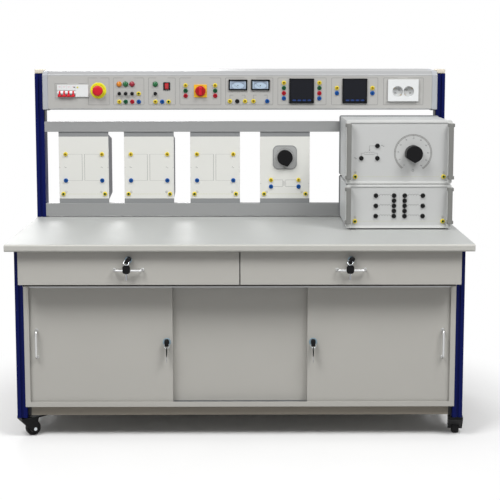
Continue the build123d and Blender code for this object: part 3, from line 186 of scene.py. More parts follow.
def add_node(tree: Tree, kind: str, inputs: dict[str | int, Input] | None = None,
             **settings: object) -> bpy.types.Node:
    """Adds a shader node to a tree.

    Args:
        tree: The tree.
        kind: The node's type, without its prefix.
        inputs: A socket or a constant for each input, by its title or its place.
        settings: The node's own settings, which come first.

    Returns:
        The node.
    """
    node = tree.nodes.new(f"ShaderNode{kind}")
    for name, value in settings.items():
        setattr(node, name, value)
    fill(tree, node, inputs or {})
    return node


def mixed(tree: Tree, share: Output, below: Input, above: Input) -> Output:
    """Colour that goes from one to another as a share grows from 0 to 1."""
    node = add_node(tree, "Mix", {"Factor": share, "A": below, "B": above}, data_type="RGBA")
    return node.outputs["Result"]


@dataclass
class EffectGroup:
    """A shader node group in the making, with named inputs and outputs."""

    name: str
    inputs: dict[str, str]
    outputs: dict[str, str]
    tree: Tree = field(init=False)
    given: bpy.types.NodeOutputs = field(init=False)
    exit: bpy.types.Node = field(init=False)

    def __post_init__(self) -> None:
        """Makes the empty group and its sockets."""
        self.tree = bpy.data.node_groups.new(self.name, "ShaderNodeTree")
        for way, sockets in (("INPUT", self.inputs), ("OUTPUT", self.outputs)):
            for title, kind in sockets.items():
                self.tree.interface.new_socket(title, in_out=way, socket_type=f"NodeSocket{kind}")
        self.given = self.tree.nodes.new("NodeGroupInput").outputs
        self.exit = self.tree.nodes.new("NodeGroupOutput")

    def maths(self, operation: str, *values: Input) -> Output:
        """Output of a new Math node with these inputs."""
        return add_node(self.tree, "Math", dict(enumerate(values)), operation=operation).outputs[0]

    def noise(self, detail: float, vector: Output | None = None) -> Output:
        """Adds a noise texture of the group's scale.

        Args:
            detail: Its octaves.
            vector: Where the noise is read, or None for the group's own place.

        Returns:
            The noise value from 0 to 1.
        """
        inputs = {"Detail": detail, "Vector": vector or self.given["Vector"],
                  "Scale": self.given["Scale"]}
        return add_node(self.tree, "TexNoise", inputs).outputs["Fac"]

    def patchy(self, strength: Output, detail: float) -> Output:
        """A strength broken up by noise and brought to the group's amount."""
        return self.maths("MULTIPLY", self.maths("MULTIPLY", strength, self.noise(detail)),
                          self.given["Amount"])

    def close(self, results: dict[str, Output]) -> Tree:
        """Links the results to the outputs and gives the finished group."""
        fill(self.tree, self.exit, results)
        return self.tree


class Effects:
    """Surface effects that several finishes share, each built once."""

    mask_inputs = {"Vector": "Vector", "Scale": "Float", "Amount": "Float"}
    mask_output = {"Mask": "Float"}

    def __init__(self) -> None:
        """Builds the groups."""
        self.mottle = self._mottle()
        self.grain = self._grain()
        self.edge_wear = self._edge_wear()
        self.dust = self._dust()

    @staticmethod
    def _mottle() -> Tree:
        """Slow change of colour and gloss over a surface."""
        inputs = {"Vector": "Vector", "Scale": "Float", "Colour": "Color", "Contrast": "Float",
                  "Roughness": "Float", "Spread": "Float"}
        group = EffectGroup("mottle", inputs, {"Colour": "Color", "Roughness": "Float"})
        given = group.given
        centred = group.maths("SUBTRACT", group.noise(3.0), 0.5)
        factor = group.maths("ADD", group.maths("MULTIPLY", centred, given["Contrast"]), 1.0)
        tint = add_node(group.tree, "VectorMath", {0: given["Colour"], "Scale": factor},
                        operation="SCALE")
        gloss = group.maths("MULTIPLY", centred, given["Spread"])
        return group.close({"Colour": tint.outputs[0],
                            "Roughness": group.maths("ADD", gloss, given["Roughness"])})

    @staticmethod
    def _grain() -> Tree:
        """Height of the fine relief, stretched along an axis for brushed metal."""
        group = EffectGroup("grain", {"Vector": "Vector", "Stretch": "Vector", "Scale": "Float"},
                            {"Height": "Float"})
        vectors = {0: group.given["Vector"], 1: group.given["Stretch"]}
        stretched = add_node(group.tree, "VectorMath", vectors, operation="MULTIPLY")
        return group.close({"Height": group.noise(2.0, stretched.outputs[0])})

    def _edge_wear(self) -> Tree:
        """Mask of the outer edges, broken up by noise: worn paint and a painted highlight."""
        group = EffectGroup("edge_wear", self.mask_inputs, self.mask_output)
        rounded = add_node(group.tree, "Bevel", {"Radius": WEAR_HIGHLIGHT_RADIUS}, samples=4)
        true = add_node(group.tree, "NewGeometry")
        normals = {0: rounded.outputs[0], 1: true.outputs["Normal"]}
        both = add_node(group.tree, "VectorMath", normals, operation="DOT_PRODUCT")
        bend = group.maths("SUBTRACT", 1.0, both.outputs["Value"])
        return group.close({"Mask": group.maths("MINIMUM", group.patchy(bend, 3.0), 1.0)})

    def _dust(self) -> Tree:
        """Mask of the surfaces that face up, where fine dust settles."""
        group = EffectGroup("dust", self.mask_inputs, self.mask_output)
        facing = add_node(group.tree, "NewGeometry")
        parts = add_node(group.tree, "SeparateXYZ", {0: facing.outputs["Normal"]})
        upward = group.maths("MAXIMUM", parts.outputs["Z"], 0.0)
        return group.close({"Mask": group.patchy(upward, 4.0)})


@dataclass(frozen=True)
class Finish:
    """A surface finish and the material that shows it."""

    name: str
    colour: Colour
    roughness: float = 0.45
    texture: Texture = Texture.MOULDED
    metallic: float = 0.0
    coat: float = 0.0
    specular: float = 0.5
    mottle: float = 0.05
    mottle_scale: float = 5.0
    # Edge mask amount and its colour: worn paint and a painted highlight; dust mixes to the same
    # colour.
    wear: float = 0.0
    wear_colour: Colour = (190, 190, 188)
    dust: float = 0.0
    glow: float = 0.0

    def material(self, effects: Effects) -> bpy.types.Material:
        """Material of the finish, built at its first use.

        Args:
            effects: The shared node groups.

        Returns:
            The material.
        """
        known = bpy.data.materials.get(self.name)
        if known is not None:
            return known
        material = bpy.data.materials.new(self.name)
        material.use_nodes = True
        tree = material.node_tree
        place = add_node(tree, "TexCoord").outputs["Object"]
        mottle = add_node(tree, "Group", {
            "Vector": place, "Scale": self.mottle_scale, "Colour": linear(self.colour),
            "Contrast": self.mottle, "Roughness": self.roughness, "Spread": GLOSS_SPREAD,
        }, node_tree=effects.mottle)
        paint = mottle.outputs["Colour"]
        # Edges mix towards this colour as worn paint and painted highlight, up-facing faces as
        # dust.
        for effect, scale, amount in ((effects.edge_wear, WEAR_HIGHLIGHT_SCALE, self.wear),
                                      (effects.dust, DUST_SCALE, self.dust)):
            if amount > 0:
                mask = add_node(tree, "Group", {"Vector": place, "Scale": scale, "Amount": amount},
                                node_tree=effect)
                paint = mixed(tree, mask.outputs["Mask"], paint, linear(self.wear_colour))
        relief = self.texture.value
        grain = add_node(tree, "Group", {"Vector": place, "Stretch": relief.stretch,
                                         "Scale": relief.scale}, node_tree=effects.grain)
        bump = add_node(tree, "Bump", {"Strength": RELIEF_STRENGTH, "Distance": relief.depth,
                                       "Height": grain.outputs["Height"]})
        look = {"Base Color": paint, "Roughness": mottle.outputs["Roughness"],
                "Normal": bump.outputs["Normal"], "Metallic": self.metallic,
                "Coat Weight": self.coat, "Specular IOR Level": self.specular}
        if self.glow > 0:
            look |= {"Emission Color": linear(self.colour), "Emission Strength": self.glow}
        fill(tree, tree.nodes["Principled BSDF"], look)
        return material


def strong_plastic(name: str, colour: Colour, roughness: float = 0.36,
                   specular: float = 0.3) -> Finish:
    """Finish of moulded plastic in a strong colour."""
    return Finish(name, colour, roughness, specular=specular, mottle=0.03)


def lens(name: str, colour: Colour) -> Finish:
    """Finish of a lamp's clear coloured lens."""
    return Finish(name, colour, 0.15, Texture.GLOSS, specular=0.3, coat=0.3, mottle=0.1)


def printed(name: str, colour: Colour, roughness: float = 0.6, specular: float = 0.5,
            mottle: float = 0.02) -> Finish:
    """Finish of a printed line or area."""
    return Finish(name, colour, roughness, Texture.INK, specular=specular, mottle=mottle)


# Furniture
TABLE_LAMINATE = Finish("table_laminate", (177, 179, 177), 0.5, Texture.LAMINATE, mottle=0.03)
TABLE_EDGE = Finish("table_edge_band", (190, 189, 183), 0.42, mottle=0.03)
TABLE_UNDER = Finish("table_underside", (142, 138, 130), 0.7, Texture.LAMINATE)
# Lighter edges on the blue posts: worn paint and a painted highlight.
BLUE_POWDER = Finish("blue_powder_coat", (2, 14, 78), 0.4, Texture.POWDER, specular=0.12, wear=0.5,
                     wear_colour=(34, 46, 108), mottle=0.14)
BEIGE_CAP = Finish("beige_moulding", (214, 206, 190), 0.5)
STRETCHER_PAINT = Finish("stretcher_paint", (136, 129, 117), 0.5, Texture.POWDER)
BLACK_BRACKET = Finish("black_bracket_zinc", (30, 30, 32), 0.42, Texture.POWDER, specular=0.3)
# Lighter edges on the cabinet: worn paint and a painted highlight.
CABINET_PAINT = Finish("cabinet_powder_coat", (183, 181, 175), 0.46, Texture.POWDER, wear=0.4,
                       mottle=0.04, dust=0.06, wear_colour=(196, 194, 188))
CABINET_INNER = Finish("cabinet_inner_paint", (150, 147, 141), 0.55, Texture.POWDER, dust=0.1)
ZINC = Finish("zinc_sheet", (170, 172, 174), 0.36, Texture.BRUSHED, 0.9, mottle=0.18,
              mottle_scale=30.0)
CHROME = Finish("bright_chrome", (206, 212, 216), 0.12, Texture.GLOSS, 1.0)
SATIN_ALLOY = Finish("satin_handle_alloy", (206, 207, 207), 0.28, Texture.BRUSHED, 0.85)
BLACK_PLASTIC = Finish("black_moulded_plastic", (12, 12, 14), 0.42, specular=0.16)
BLACK_RUBBER = Finish("black_rubber", (22, 22, 23), 0.7, Texture.RUBBER, specular=0.2)
HUB_PLASTIC = Finish("castor_hub_plastic", (72, 72, 71), 0.45)
KEY_STEEL = Finish("key_steel", (150, 152, 155), 0.25, Texture.BRUSHED, 1.0)
LOCK_CHROME = Finish("lock_chrome", (132, 152, 164), 0.3, Texture.GLOSS, 0.9)

# Upper frame, console and modules
RAIL_ALLOY = Finish("rail_anodised", (150, 151, 151), 0.42, Texture.BRUSHED, 0.25, mottle=0.06)
CONSOLE_ALLOY = Finish("console_anodised", (166, 167, 168), 0.42, Texture.BRUSHED, 0.2)
CONSOLE_CAP = Finish("console_end_moulding", (170, 173, 178), 0.4)
CONSOLE_PLATE = Finish("console_device_plate", (176, 175, 172), 0.42, Texture.BRUSHED, 0.05)
MODULE_WHITE = Finish("module_front_white", (221, 221, 216), 0.42, mottle=0.02)
MODULE_STRIP = Finish("module_strip_grey", (134, 136, 137), 0.45, Texture.POWDER)
# Aluminium module covers given a darker bluish grey: painted shade.
MODULE_COVER_PAINTED_SHADE = Finish("module_cover_grey", (128, 130, 138), 0.5, Texture.POWDER)
DIAL_GREY = Finish("dial_plate_grey", (168, 169, 168), 0.35, Texture.BRUSHED, 0.2)
PRINT_EARTH = printed("print_earth_line", (186, 188, 112))
PRINT_FAINT = printed("print_faint_grey", (168, 168, 165))
PRINT_GREY = printed("print_grey", (112, 112, 112))
PRINT_DARK = printed("print_dark", (48, 48, 50), specular=0.3)
CORE_IRON = Finish("core_lamination", (92, 90, 88), 0.5, Texture.BRUSHED, 0.7)

# Switchgear and meters
WHITE_PLASTIC = Finish("white_device_plastic", (222, 224, 224), 0.3, mottle=0.015)
# Painted shade: the grey floor of the outlet's deep wells.
OUTLET_WELL_SHADE = Finish("outlet_well_plastic", (202, 204, 204), 0.4, mottle=0.015)
RED_PLASTIC = strong_plastic("red_device_plastic", (200, 22, 42), 0.34)
RED_DEEP = strong_plastic("red_knob_plastic", (176, 14, 26), 0.3)
RED_LIT = Finish("red_rocker_plastic", (180, 16, 28), 0.2, Texture.GLOSS, coat=0.3, glow=0.05)
YELLOW_COLLAR = strong_plastic("yellow_collar_plastic", (224, 222, 44))
PINK_MARK = printed("breaker_pink_mark", (216, 160, 168), 0.5, 0.3, 0.03)
AMBER_MARK = printed("collar_amber_mark", (186, 156, 26), 0.5, 0.3, 0.03)
YELLOW_PLATE = strong_plastic("yellow_switch_plate", (238, 184, 40), 0.4)
METER_FRAME = Finish("meter_frame_black", (14, 15, 18), 0.4, specular=0.15)
METER_RIM = printed("meter_dial_rim", (140, 154, 174), 0.5, mottle=0.04)
METER_FACE = printed("meter_dial_paper", (176, 194, 212), 0.5, mottle=0.04)
METER_SCREEN = Finish("digital_meter_screen", (14, 16, 24), 0.22, Texture.GLOSS, specular=0.2)
METER_KEYS = Finish("digital_meter_keys", (30, 56, 112), 0.4, specular=0.3)
PIN_BRASS = Finish("contact_brass", (190, 160, 96), 0.3, Texture.BRUSHED, 1.0)

# Sockets and lamps
SOCKET_YELLOW = strong_plastic("socket_yellow", (226, 206, 66))
SOCKET_AMBER = strong_plastic("socket_amber", (178, 146, 22))
SOCKET_GREEN = strong_plastic("socket_green", (8, 84, 50), specular=0.25)
SOCKET_RED = strong_plastic("socket_red", (178, 12, 40), specular=0.25)
SOCKET_BLUE = strong_plastic("socket_blue", (10, 84, 160), specular=0.25)
SOCKET_BLACK = Finish("socket_black", (14, 14, 15), 0.4, specular=0.25)
LAMP_ORANGE = lens("lamp_orange", (206, 124, 18))
LAMP_GREEN = lens("lamp_green", (8, 96, 48))
LAMP_RED = lens("lamp_red", (146, 6, 40))

# Instruments
CASE_RING = Finish("instrument_ring_white", (214, 215, 213), 0.42, mottle=0.02)
CASE_SHEET = Finish("instrument_sheet_grey", (196, 198, 198), 0.46, Texture.POWDER)
CASE_REAR = Finish("instrument_rear_ring", (122, 124, 126), 0.5)
CASE_PANEL = Finish("instrument_panel_grey", (194, 195, 194), 0.45, Texture.BRUSHED, mottle=0.02)
GRIP_GREY = Finish("rack_grip_grey", (124, 124, 121), 0.45)


@dataclass(frozen=True)
class Limits:
    """The room of a CAD node, in millimetres."""

    x: Span
    depth: Span
    z: Span

    @staticmethod
    def of(node: str) -> "Limits":
        """Reads the room of a node from the frame.

        Args:
            node: The node's name.

        Returns:
            Its limits in x, depth and z.
        """
        low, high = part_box(node)
        edge = front_edge()
        return Limits(
            (low.x / MM, high.x / MM),
            ((low.y - edge) / MM, (high.y - edge) / MM),
            (low.z / MM, high.z / MM),
        )


def front_edge() -> float:
    """Y of the table top's front edge in the frame, in metres."""
    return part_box("table_top")[0].y


def about(centre: float, size: float) -> Span:
    """Two limits that lie evenly about a centre."""
    return (centre - size / 2, centre + size / 2)


def polar(centre: Spot, degrees: float, radius: float) -> Spot:
    """Spot on a circle, its angle counted from +x towards +z."""
    angle = math.radians(degrees)
    return (centre[0] + radius * math.cos(angle), centre[1] + radius * math.sin(angle))


def at(x: float, depth: float, z: float, degrees: float = 0.0, axis: str = "Y") -> Matrix:
    """Place of a part.

    Args:
        x: Where its origin goes, to the side.
        depth: The same in depth.
        z: The same in height.
        degrees: How far it is turned there.
        axis: The axis of the turn.

    Returns:
        The matrix.
    """
    return Matrix.Translation((x, depth, z)) @ Matrix.Rotation(math.radians(degrees), 4, axis)


def resized(spot: Spot, wide: float, high: float) -> Matrix:
    """Matrix that changes width and height about an axis that runs in depth."""
    x, z = spot
    return at(x, 0, z) @ Matrix.Diagonal((wide, 1.0, high, 1.0)) @ at(-x, 0, -z)


def placed(name: str, data: bpy.types.ID) -> bpy.types.Object:
    """Object with this data, linked to the scene."""
    thing = bpy.data.objects.new(name, data)
    bpy.context.scene.collection.objects.link(thing)
    return thing


def pour(source: bmesh.types.BMesh, target: bmesh.types.BMesh) -> None:
    """Moves a mesh into another one, and frees it."""
    carrier = bpy.data.meshes.new("carrier")
    source.to_mesh(carrier)
    source.free()
    target.from_mesh(carrier)
    bpy.data.meshes.remove(carrier)


class Part:
    """One solid in the making, before it joins a piece."""

    def __init__(self) -> None:
        """Starts with an empty mesh."""
        self.mesh = bmesh.new()

    @classmethod
    def block(cls, x: Span, depth: Span, z: Span, rounding: float = 0.5,
              segments: int = 2) -> "Part":
        """Block with rounded edges.

        Args:
            x: Its limits to the side.
            depth: Its limits in depth.
            z: Its limits in height.
            rounding: Radius of all edges.
            segments: Steps of the rounding.

        Returns:
            The part.
        """
        part = cls()
        size = [abs(room[1] - room[0]) for room in (x, depth, z)]
        place = at(sum(x) / 2, sum(depth) / 2, sum(z) / 2) @ Matrix.Diagonal((*size, 1.0))
        bmesh.ops.create_cube(part.mesh, size=1.0, matrix=place)
        part.round_edges(list(part.mesh.edges), rounding, segments)
        return part

    @classmethod
    def plate(cls, centre: Spot, size: Spot, corner: float, depth: Span, rounding: float = 0.4,
              steps: int = 5) -> "Part":
        """Upright plate with rounded corners and softened edges.

        Args:
            centre: X and z of its middle.
            size: Width and height.
            corner: Radius of its four corners.
            depth: Its limits in depth.
            rounding: Radius of the edges of both faces.
            steps: Steps of each corner.

        Returns:
            The part.
        """
        part = cls()
        front, back = min(depth), max(depth)
        place = at(centre[0], front, centre[1], 90, "X") @ Matrix.Diagonal((*size, 1.0, 1.0))
        bmesh.ops.create_grid(part.mesh, x_segments=1, y_segments=1, size=0.5, matrix=place)
        if corner > 0:
            bmesh.ops.bevel(part.mesh, geom=list(part.mesh.verts), offset=corner, segments=steps,
                            profile=0.5, affect="VERTICES", material=-1)
        part.thicken(Vector((0, back - front, 0)))
        part.round_rims(rounding)
        return part

    @classmethod
    def disc(cls, centre: Spot, radius: float, depth: Span, rounding: float = 0.4,
             sides: int = 32) -> "Part":
        """Round plate or bar that runs from front to back.

        Args:
            centre: X and z of its axis.
            radius: Its radius.
            depth: Its limits in depth.
            rounding: Radius of both rims.
            sides: Count of its sides.

        Returns:
            The part.
        """
        part = cls()
        front, back = min(depth), max(depth)
        bmesh.ops.create_circle(part.mesh, cap_ends=True, segments=sides, radius=radius,
                                matrix=at(centre[0], front, centre[1], 90, "X"))
        part.thicken(Vector((0, back - front, 0)))
        part.round_rims(rounding)
        return part

    @classmethod
    def turned(cls, centre: Spot, profile: list[Spot], sides: int = 32) -> "Part":
        """Body of revolution about an axis that runs from front to back.

        Args:
            centre: X and z of the axis.
            profile: Radius and depth of each corner, along the outline.
            sides: Count of its sides.

        Returns:
            The part.
        """
        part = cls()
        corners = [part.mesh.verts.new((centre[0] + radius, depth, centre[1]))
                   for radius, depth in profile]
        edges = [part.mesh.edges.new(pair) for pair in zip(corners, corners[1:])]
        bmesh.ops.spin(part.mesh, geom=corners + edges, cent=(centre[0], 0, centre[1]),
                       axis=(0, 1, 0), angle=FULL_TURN, steps=sides, use_merge=True)
        bmesh.ops.remove_doubles(part.mesh, verts=part.mesh.verts, dist=MERGE)
        return part

    @classmethod
    def profile(cls, corners: tuple[Spot, ...], plane: Matrix, length: float,
                rounding: float) -> "Part":
        """Bar with a flat section.

        Args:
            corners: The section's corners in its own plane.
            plane: Place of the section; the bar grows along its z axis.
            length: The bar's length.
            rounding: Radius of its edges.

        Returns:
            The part.
        """
        part = cls()
        outline = [part.mesh.verts.new(plane @ Vector((u, v, 0.0))) for u, v in corners]
        part.mesh.faces.new(outline)
        part.thicken(plane.to_3x3() @ Vector((0, 0, length)))
        part.round_edges(part.sharp_edges(), rounding, 2)
        return part

    @classmethod
    def pipe(cls, start: Vector, heading: Vector, side: Vector, radius: float,
             moves: list[tuple[float, float, float]], sides: int = 16) -> "Part":
        """Round bar that runs straight and bends in one plane.

        Args:
            start: Middle of its first end.
            heading: Direction of the first run.
            side: Direction towards which a positive bend turns.
            radius: Radius of the bar.
            moves: Run length, then bend radius and bend angle in degrees; zeros skip them.
            sides: Count of its sides.

        Returns:
            The part.
        """
        part = cls()
        normal = heading.cross(side).normalized()
        place = Matrix.Translation(start) @ heading.to_track_quat("Z", "Y").to_matrix().to_4x4()
        made = bmesh.ops.create_circle(part.mesh, cap_ends=True, segments=sides, radius=radius,
                                       matrix=place)
        ring = list({edge for vert in made["verts"] for edge in vert.link_edges})
        here, along, across = start.copy(), heading.normalized(), side.normalized()
        for run, bend, angle in moves:
            if run > 0:
                grown = bmesh.ops.extrude_edge_only(part.mesh, edges=ring)["geom"]
                verts = [item for item in grown if isinstance(item, bmesh.types.BMVert)]
                bmesh.ops.translate(part.mesh, verts=verts, vec=along * run)
                ring = [item for item in grown if isinstance(item, bmesh.types.BMEdge)
                        and all(vert in verts for vert in item.verts)]
                here += along * run
            if bend > 0:
                turn = math.radians(angle)
                centre = here + across * bend
                verts = list({vert for edge in ring for vert in edge.verts})
                steps = max(2, round(abs(angle) / 11))
                last = bmesh.ops.spin(part.mesh, geom=verts + ring, cent=centre, axis=normal,
                                      angle=turn, steps=steps)["geom_last"]
                ring = [item for item in last if isinstance(item, bmesh.types.BMEdge)]
                swing = Matrix.Rotation(turn, 3, normal)
                here = centre + swing @ (here - centre)
                along, across = swing @ along, swing @ across
        bmesh.ops.contextual_create(part.mesh, geom=ring)
        bmesh.ops.remove_doubles(part.mesh, verts=part.mesh.verts, dist=MERGE)
        return part

    @classmethod
    def hoop(cls, centre: Vector, normal: Vector, radius: float, wire: float,
             sides: int = 12) -> "Part":
        """Closed ring of round wire.

        Args:
            centre: Its middle.
            normal: Direction of its axis.
            radius: Middle radius of the ring.
            wire: Radius of the wire.
            sides: Count of the wire's sides.

        Returns:
            The part.
        """
        part = cls()
        place = Matrix.Translation(centre) @ normal.to_track_quat("Z", "Y").to_matrix().to_4x4()
        section = place @ at(radius, 0, 0, 90, "X")
        made = bmesh.ops.create_circle(part.mesh, cap_ends=False, segments=sides, radius=wire,
                                       matrix=section)
        bmesh.ops.spin(part.mesh, geom=made["verts"] + list(part.mesh.edges), cent=centre,
                       axis=normal.normalized(), angle=FULL_TURN, steps=28, use_merge=True)
        bmesh.ops.remove_doubles(part.mesh, verts=part.mesh.verts, dist=MERGE)
        return part

    @classmethod
    def stroke(cls, start: Spot, end: Spot, width: float, face: float, height: float) -> "Part":
        """Straight printed line on an upright face.

        Args:
            start: X and z of one end.
            end: X and z of the other end.
            width: Width of the line.
            face: Depth of the face.
            height: How far the ink stands proud.

        Returns:
            The part.
        """
        part = cls()
        run = Vector((end[0] - start[0], end[1] - start[1]))
        middle = ((start[0] + end[0]) / 2, face - height / 2, (start[1] + end[1]) / 2)
        turn = Matrix.Rotation(-math.atan2(run.y, run.x), 4, "Y")
        size = Matrix.Diagonal((run.length + width, height, width, 1.0))
        bmesh.ops.create_cube(part.mesh, size=1.0, matrix=Matrix.Translation(middle) @ turn @ size)
        return part

    @classmethod
    def arc(cls, centre: Spot, radius: float, sweep: Span, width: float, face: float,
            height: float) -> "Part":
        """Printed arc on an upright face.

        Args:
            centre: X and z of its centre.
            radius: Its middle radius.
            sweep: First and last angle in degrees, counted from +x towards +z.
            width: Width of the line.
            face: Depth of the face.
            height: How far the ink stands proud.

        Returns:
            The part.
        """
        part = cls()
        place = (at(centre[0], 0, centre[1], -sweep[0]) @ at(radius, face - height / 2, 0)
                 @ Matrix.Diagonal((width, height, 1.0, 1.0)))
        made = bmesh.ops.create_grid(part.mesh, x_segments=1, y_segments=1, size=0.5, matrix=place)
        geom = made["verts"] + list(part.mesh.edges) + list(part.mesh.faces)
        full = abs(sweep[1] - sweep[0]) >= 360
        steps = max(4, round(abs(sweep[1] - sweep[0]) / (6 if radius > 10 else 18)))
        bmesh.ops.spin(part.mesh, geom=geom, cent=(centre[0], 0, centre[1]), axis=(0, -1, 0),
                       angle=math.radians(sweep[1] - sweep[0]), steps=steps, use_merge=full)
        if full:
            part.drop_inner_faces()
        return part

    @classmethod
    def text(cls, words: str, size: float, centre: Spot, face: float, height: float) -> "Part":
        """Plain printed figures on an upright face.

        Args:
            words: The figures.
            size: Their size.
            centre: X and z of their middle.
            face: Depth of the face.
            height: How far the ink stands proud.

        Returns:
            The part.
        """
        curve = bpy.data.curves.new("figures", "FONT")
        curve.body = words
        curve.size = size
        curve.align_x = "CENTER"
        curve.align_y = "CENTER"
        curve.resolution_u = 3
        holder = bpy.data.objects.new("figures", curve)
        part = cls()
        flat = holder.to_mesh()
        part.mesh.from_mesh(flat)
        holder.to_mesh_clear()
        bpy.data.objects.remove(holder)
        bpy.data.curves.remove(curve)
        part.move(at(centre[0], face, centre[1], 90, "X"))
        part.thicken(Vector((0, -height, 0)))
        return part

    @classmethod
    def of_node(cls, frame: dict, node: str, rounding: float, angle: float = 30.0) -> "Part":
        """Merged copy of a CAD node's mesh, with its sharp edges softened.

        Args:
            frame: The loaded frame.
            node: The node's name.
            rounding: Radius of its edges.
            angle: Least angle of an edge that is softened, in degrees.

        Returns:
            The part.
        """
        part = cls()
        part.mesh.from_mesh(frame["nodes"][node].data)
        part.move(Matrix.Scale(1 / MM, 4) @ at(0, -front_edge(), 0))
        bmesh.ops.remove_doubles(part.mesh, verts=part.mesh.verts, dist=0.002)
        bmesh.ops.dissolve_limit(part.mesh, angle_limit=math.radians(0.5), verts=part.mesh.verts,
                                 edges=part.mesh.edges)
        if rounding > 0:
            part.round_edges(part.sharp_edges(angle), rounding, 2)
        return part

    def move(self, place: Matrix) -> None:
        """Moves the whole part."""
        bmesh.ops.transform(self.mesh, matrix=place, verts=self.mesh.verts)

    def drop_inner_faces(self) -> None:
        """Takes out the faces between cells that are joined."""
        inner = [face for face in self.mesh.faces
                 if all(len(edge.link_faces) > 2 for edge in face.edges)]
        bmesh.ops.delete(self.mesh, geom=inner, context="FACES_ONLY")

    def thicken(self, way: Vector) -> None:
        """Grows the flat faces into a solid.

        Args:
            way: Direction and amount of the growth.
        """
        grown = bmesh.ops.extrude_face_region(self.mesh, geom=list(self.mesh.faces))["geom"]
        verts = [item for item in grown if isinstance(item, bmesh.types.BMVert)]
        bmesh.ops.translate(self.mesh, verts=verts, vec=way)

    def recess(self, margin: float, drop: float, rounding: float = 0.3) -> None:
        """Sinks the front face inside a margin.

        Args:
            margin: Width of the frame that stays.
            drop: How deep the face sinks.
            rounding: Radius of the frame's inner edge.
        """
        bmesh.ops.recalc_face_normals(self.mesh, faces=self.mesh.faces)
        self.mesh.normal_update()
        fronts = [face for face in self.mesh.faces if face.normal.y < -FACING]
        face = max(fronts, key=lambda item: item.calc_area())
        bmesh.ops.inset_region(self.mesh, faces=[face], thickness=margin, use_even_offset=True)
        rim = list(face.edges)
        grown = bmesh.ops.extrude_face_region(self.mesh, geom=[face])["geom"]
        floor = [item for item in grown if isinstance(item, bmesh.types.BMVert)]
        bmesh.ops.translate(self.mesh, verts=floor, vec=(0, drop, 0))
        if face.is_valid:
            bmesh.ops.delete(self.mesh, geom=[face], context="FACES_ONLY")
        self.round_edges([edge for edge in rim if edge.is_valid], rounding, 2)

    def sharp_edges(self, angle: float = 30.0) -> list[bmesh.types.BMEdge]:
        """Edges between two faces that meet at an angle.

        Args:
            angle: The least angle, in degrees.

        Returns:
            The edges.
        """
        self.mesh.normal_update()
        least = math.radians(angle)
        return [edge for edge in self.mesh.edges
                if len(edge.link_faces) == 2 and edge.calc_face_angle(0.0) > least]

    def round_edges(self, edges: list[bmesh.types.BMEdge], radius: float, segments: int) -> None:
        """Rounds edges.

        Args:
            edges: The edges.
            radius: Radius of the rounding; nothing happens at zero.
            segments: Its steps.
        """
        if radius > 0 and edges:
            bmesh.ops.bevel(self.mesh, geom=edges, offset=radius, offset_type="OFFSET",
                            segments=segments, profile=0.5, affect="EDGES", clamp_overlap=True,
                            material=-1)

    def round_rims(self, radius: float) -> None:
        """Rounds the rims of a flat solid's front and back face.

        Args:
            radius: Radius of the rounding.
        """
        self.mesh.normal_update()
        rims = [edge for edge in self.mesh.edges if len(edge.link_faces) == 2
                and any(abs(face.normal.y) > FACING for face in edge.link_faces)
                and edge.calc_face_angle(0.0) > 0.5]
        self.round_edges(rims, radius, 2)


class Piece:
    """A visible piece of the bench: parts in several finishes that move as one."""

    flat_area = 400.0

    def __init__(self, name: str, effects: Effects) -> None:
        """Starts an empty piece.

        Args:
            name: The piece's name.
            effects: The shared node groups.
        """
        self.name = name
        self.effects = effects
        self.mesh = bmesh.new()
        self.finishes: list[Finish] = []

    def add(self, part: Part, finish: Finish, place: Matrix | None = None) -> None:
        """Joins a part to the piece.

        Args:
            part: The part, which is used up.
            finish: Its finish.
            place: Where it goes, or None to leave it.
        """
        index = self._slot(finish)
        for face in part.mesh.faces:
            face.material_index = index
        self._absorb(part, place)

    def add_by_face(self, part: Part, choose: "FaceChooser", place: Matrix | None = None) -> None:
        """Joins a part whose faces differ in finish.

        Args:
            part: The part, which is used up.
            choose: Gives the finish of a face.
            place: Where it goes, or None to leave it.
        """
        part.mesh.normal_update()
        for face in part.mesh.faces:
            face.material_index = self._slot(choose.finish_of(face))
        self._absorb(part, place)

    def _slot(self, finish: Finish) -> int:
        """Index of a finish in the piece's slots."""
        if finish not in self.finishes:
            self.finishes.append(finish)
        return self.finishes.index(finish)

    def _absorb(self, part: Part, place: Matrix | None) -> None:
        """Moves a part's mesh into the piece's mesh."""
        if place is not None:
            part.move(place)
        bmesh.ops.recalc_face_normals(part.mesh, faces=part.mesh.faces)
        pour(part.mesh, self.mesh)

    def finish(self, body: str, slot: str, *nodes: str) -> None:
        """Turns the piece into an object of the scene.

        Args:
            body: The body that it rides on.
            slot: Not used.
            nodes: The CAD nodes that it stands for.
        """
        to_frame = at(0, front_edge(), 0) @ Matrix.Scale(MM, 4)
        bmesh.ops.transform(self.mesh, matrix=to_frame, verts=self.mesh.verts)
        data = bpy.data.meshes.new(self.name)
        self.mesh.to_mesh(data)
        self.mesh.free()
        for finish in self.finishes:
            data.materials.append(finish.material(self.effects))
        data.set_sharp_from_angle(angle=math.radians(SMOOTH_ANGLE))
        for face in data.polygons:
            face.use_smooth = face.area < self.flat_area * MM ** 2
        piece = placed(self.name, data)
        weights = piece.modifiers.new("even_shading", "WEIGHTED_NORMAL")
        weights.keep_sharp = True
        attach(piece, body)
        if nodes:
            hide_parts(*nodes)
        LOG.info("%s: %d faces on %s", self.name, len(data.polygons), body)


class FaceChooser:
    """Rule that gives each face of a part its finish."""

    def finish_of(self, face: bmesh.types.BMFace) -> Finish:
        """Finish of a face."""
        raise NotImplementedError


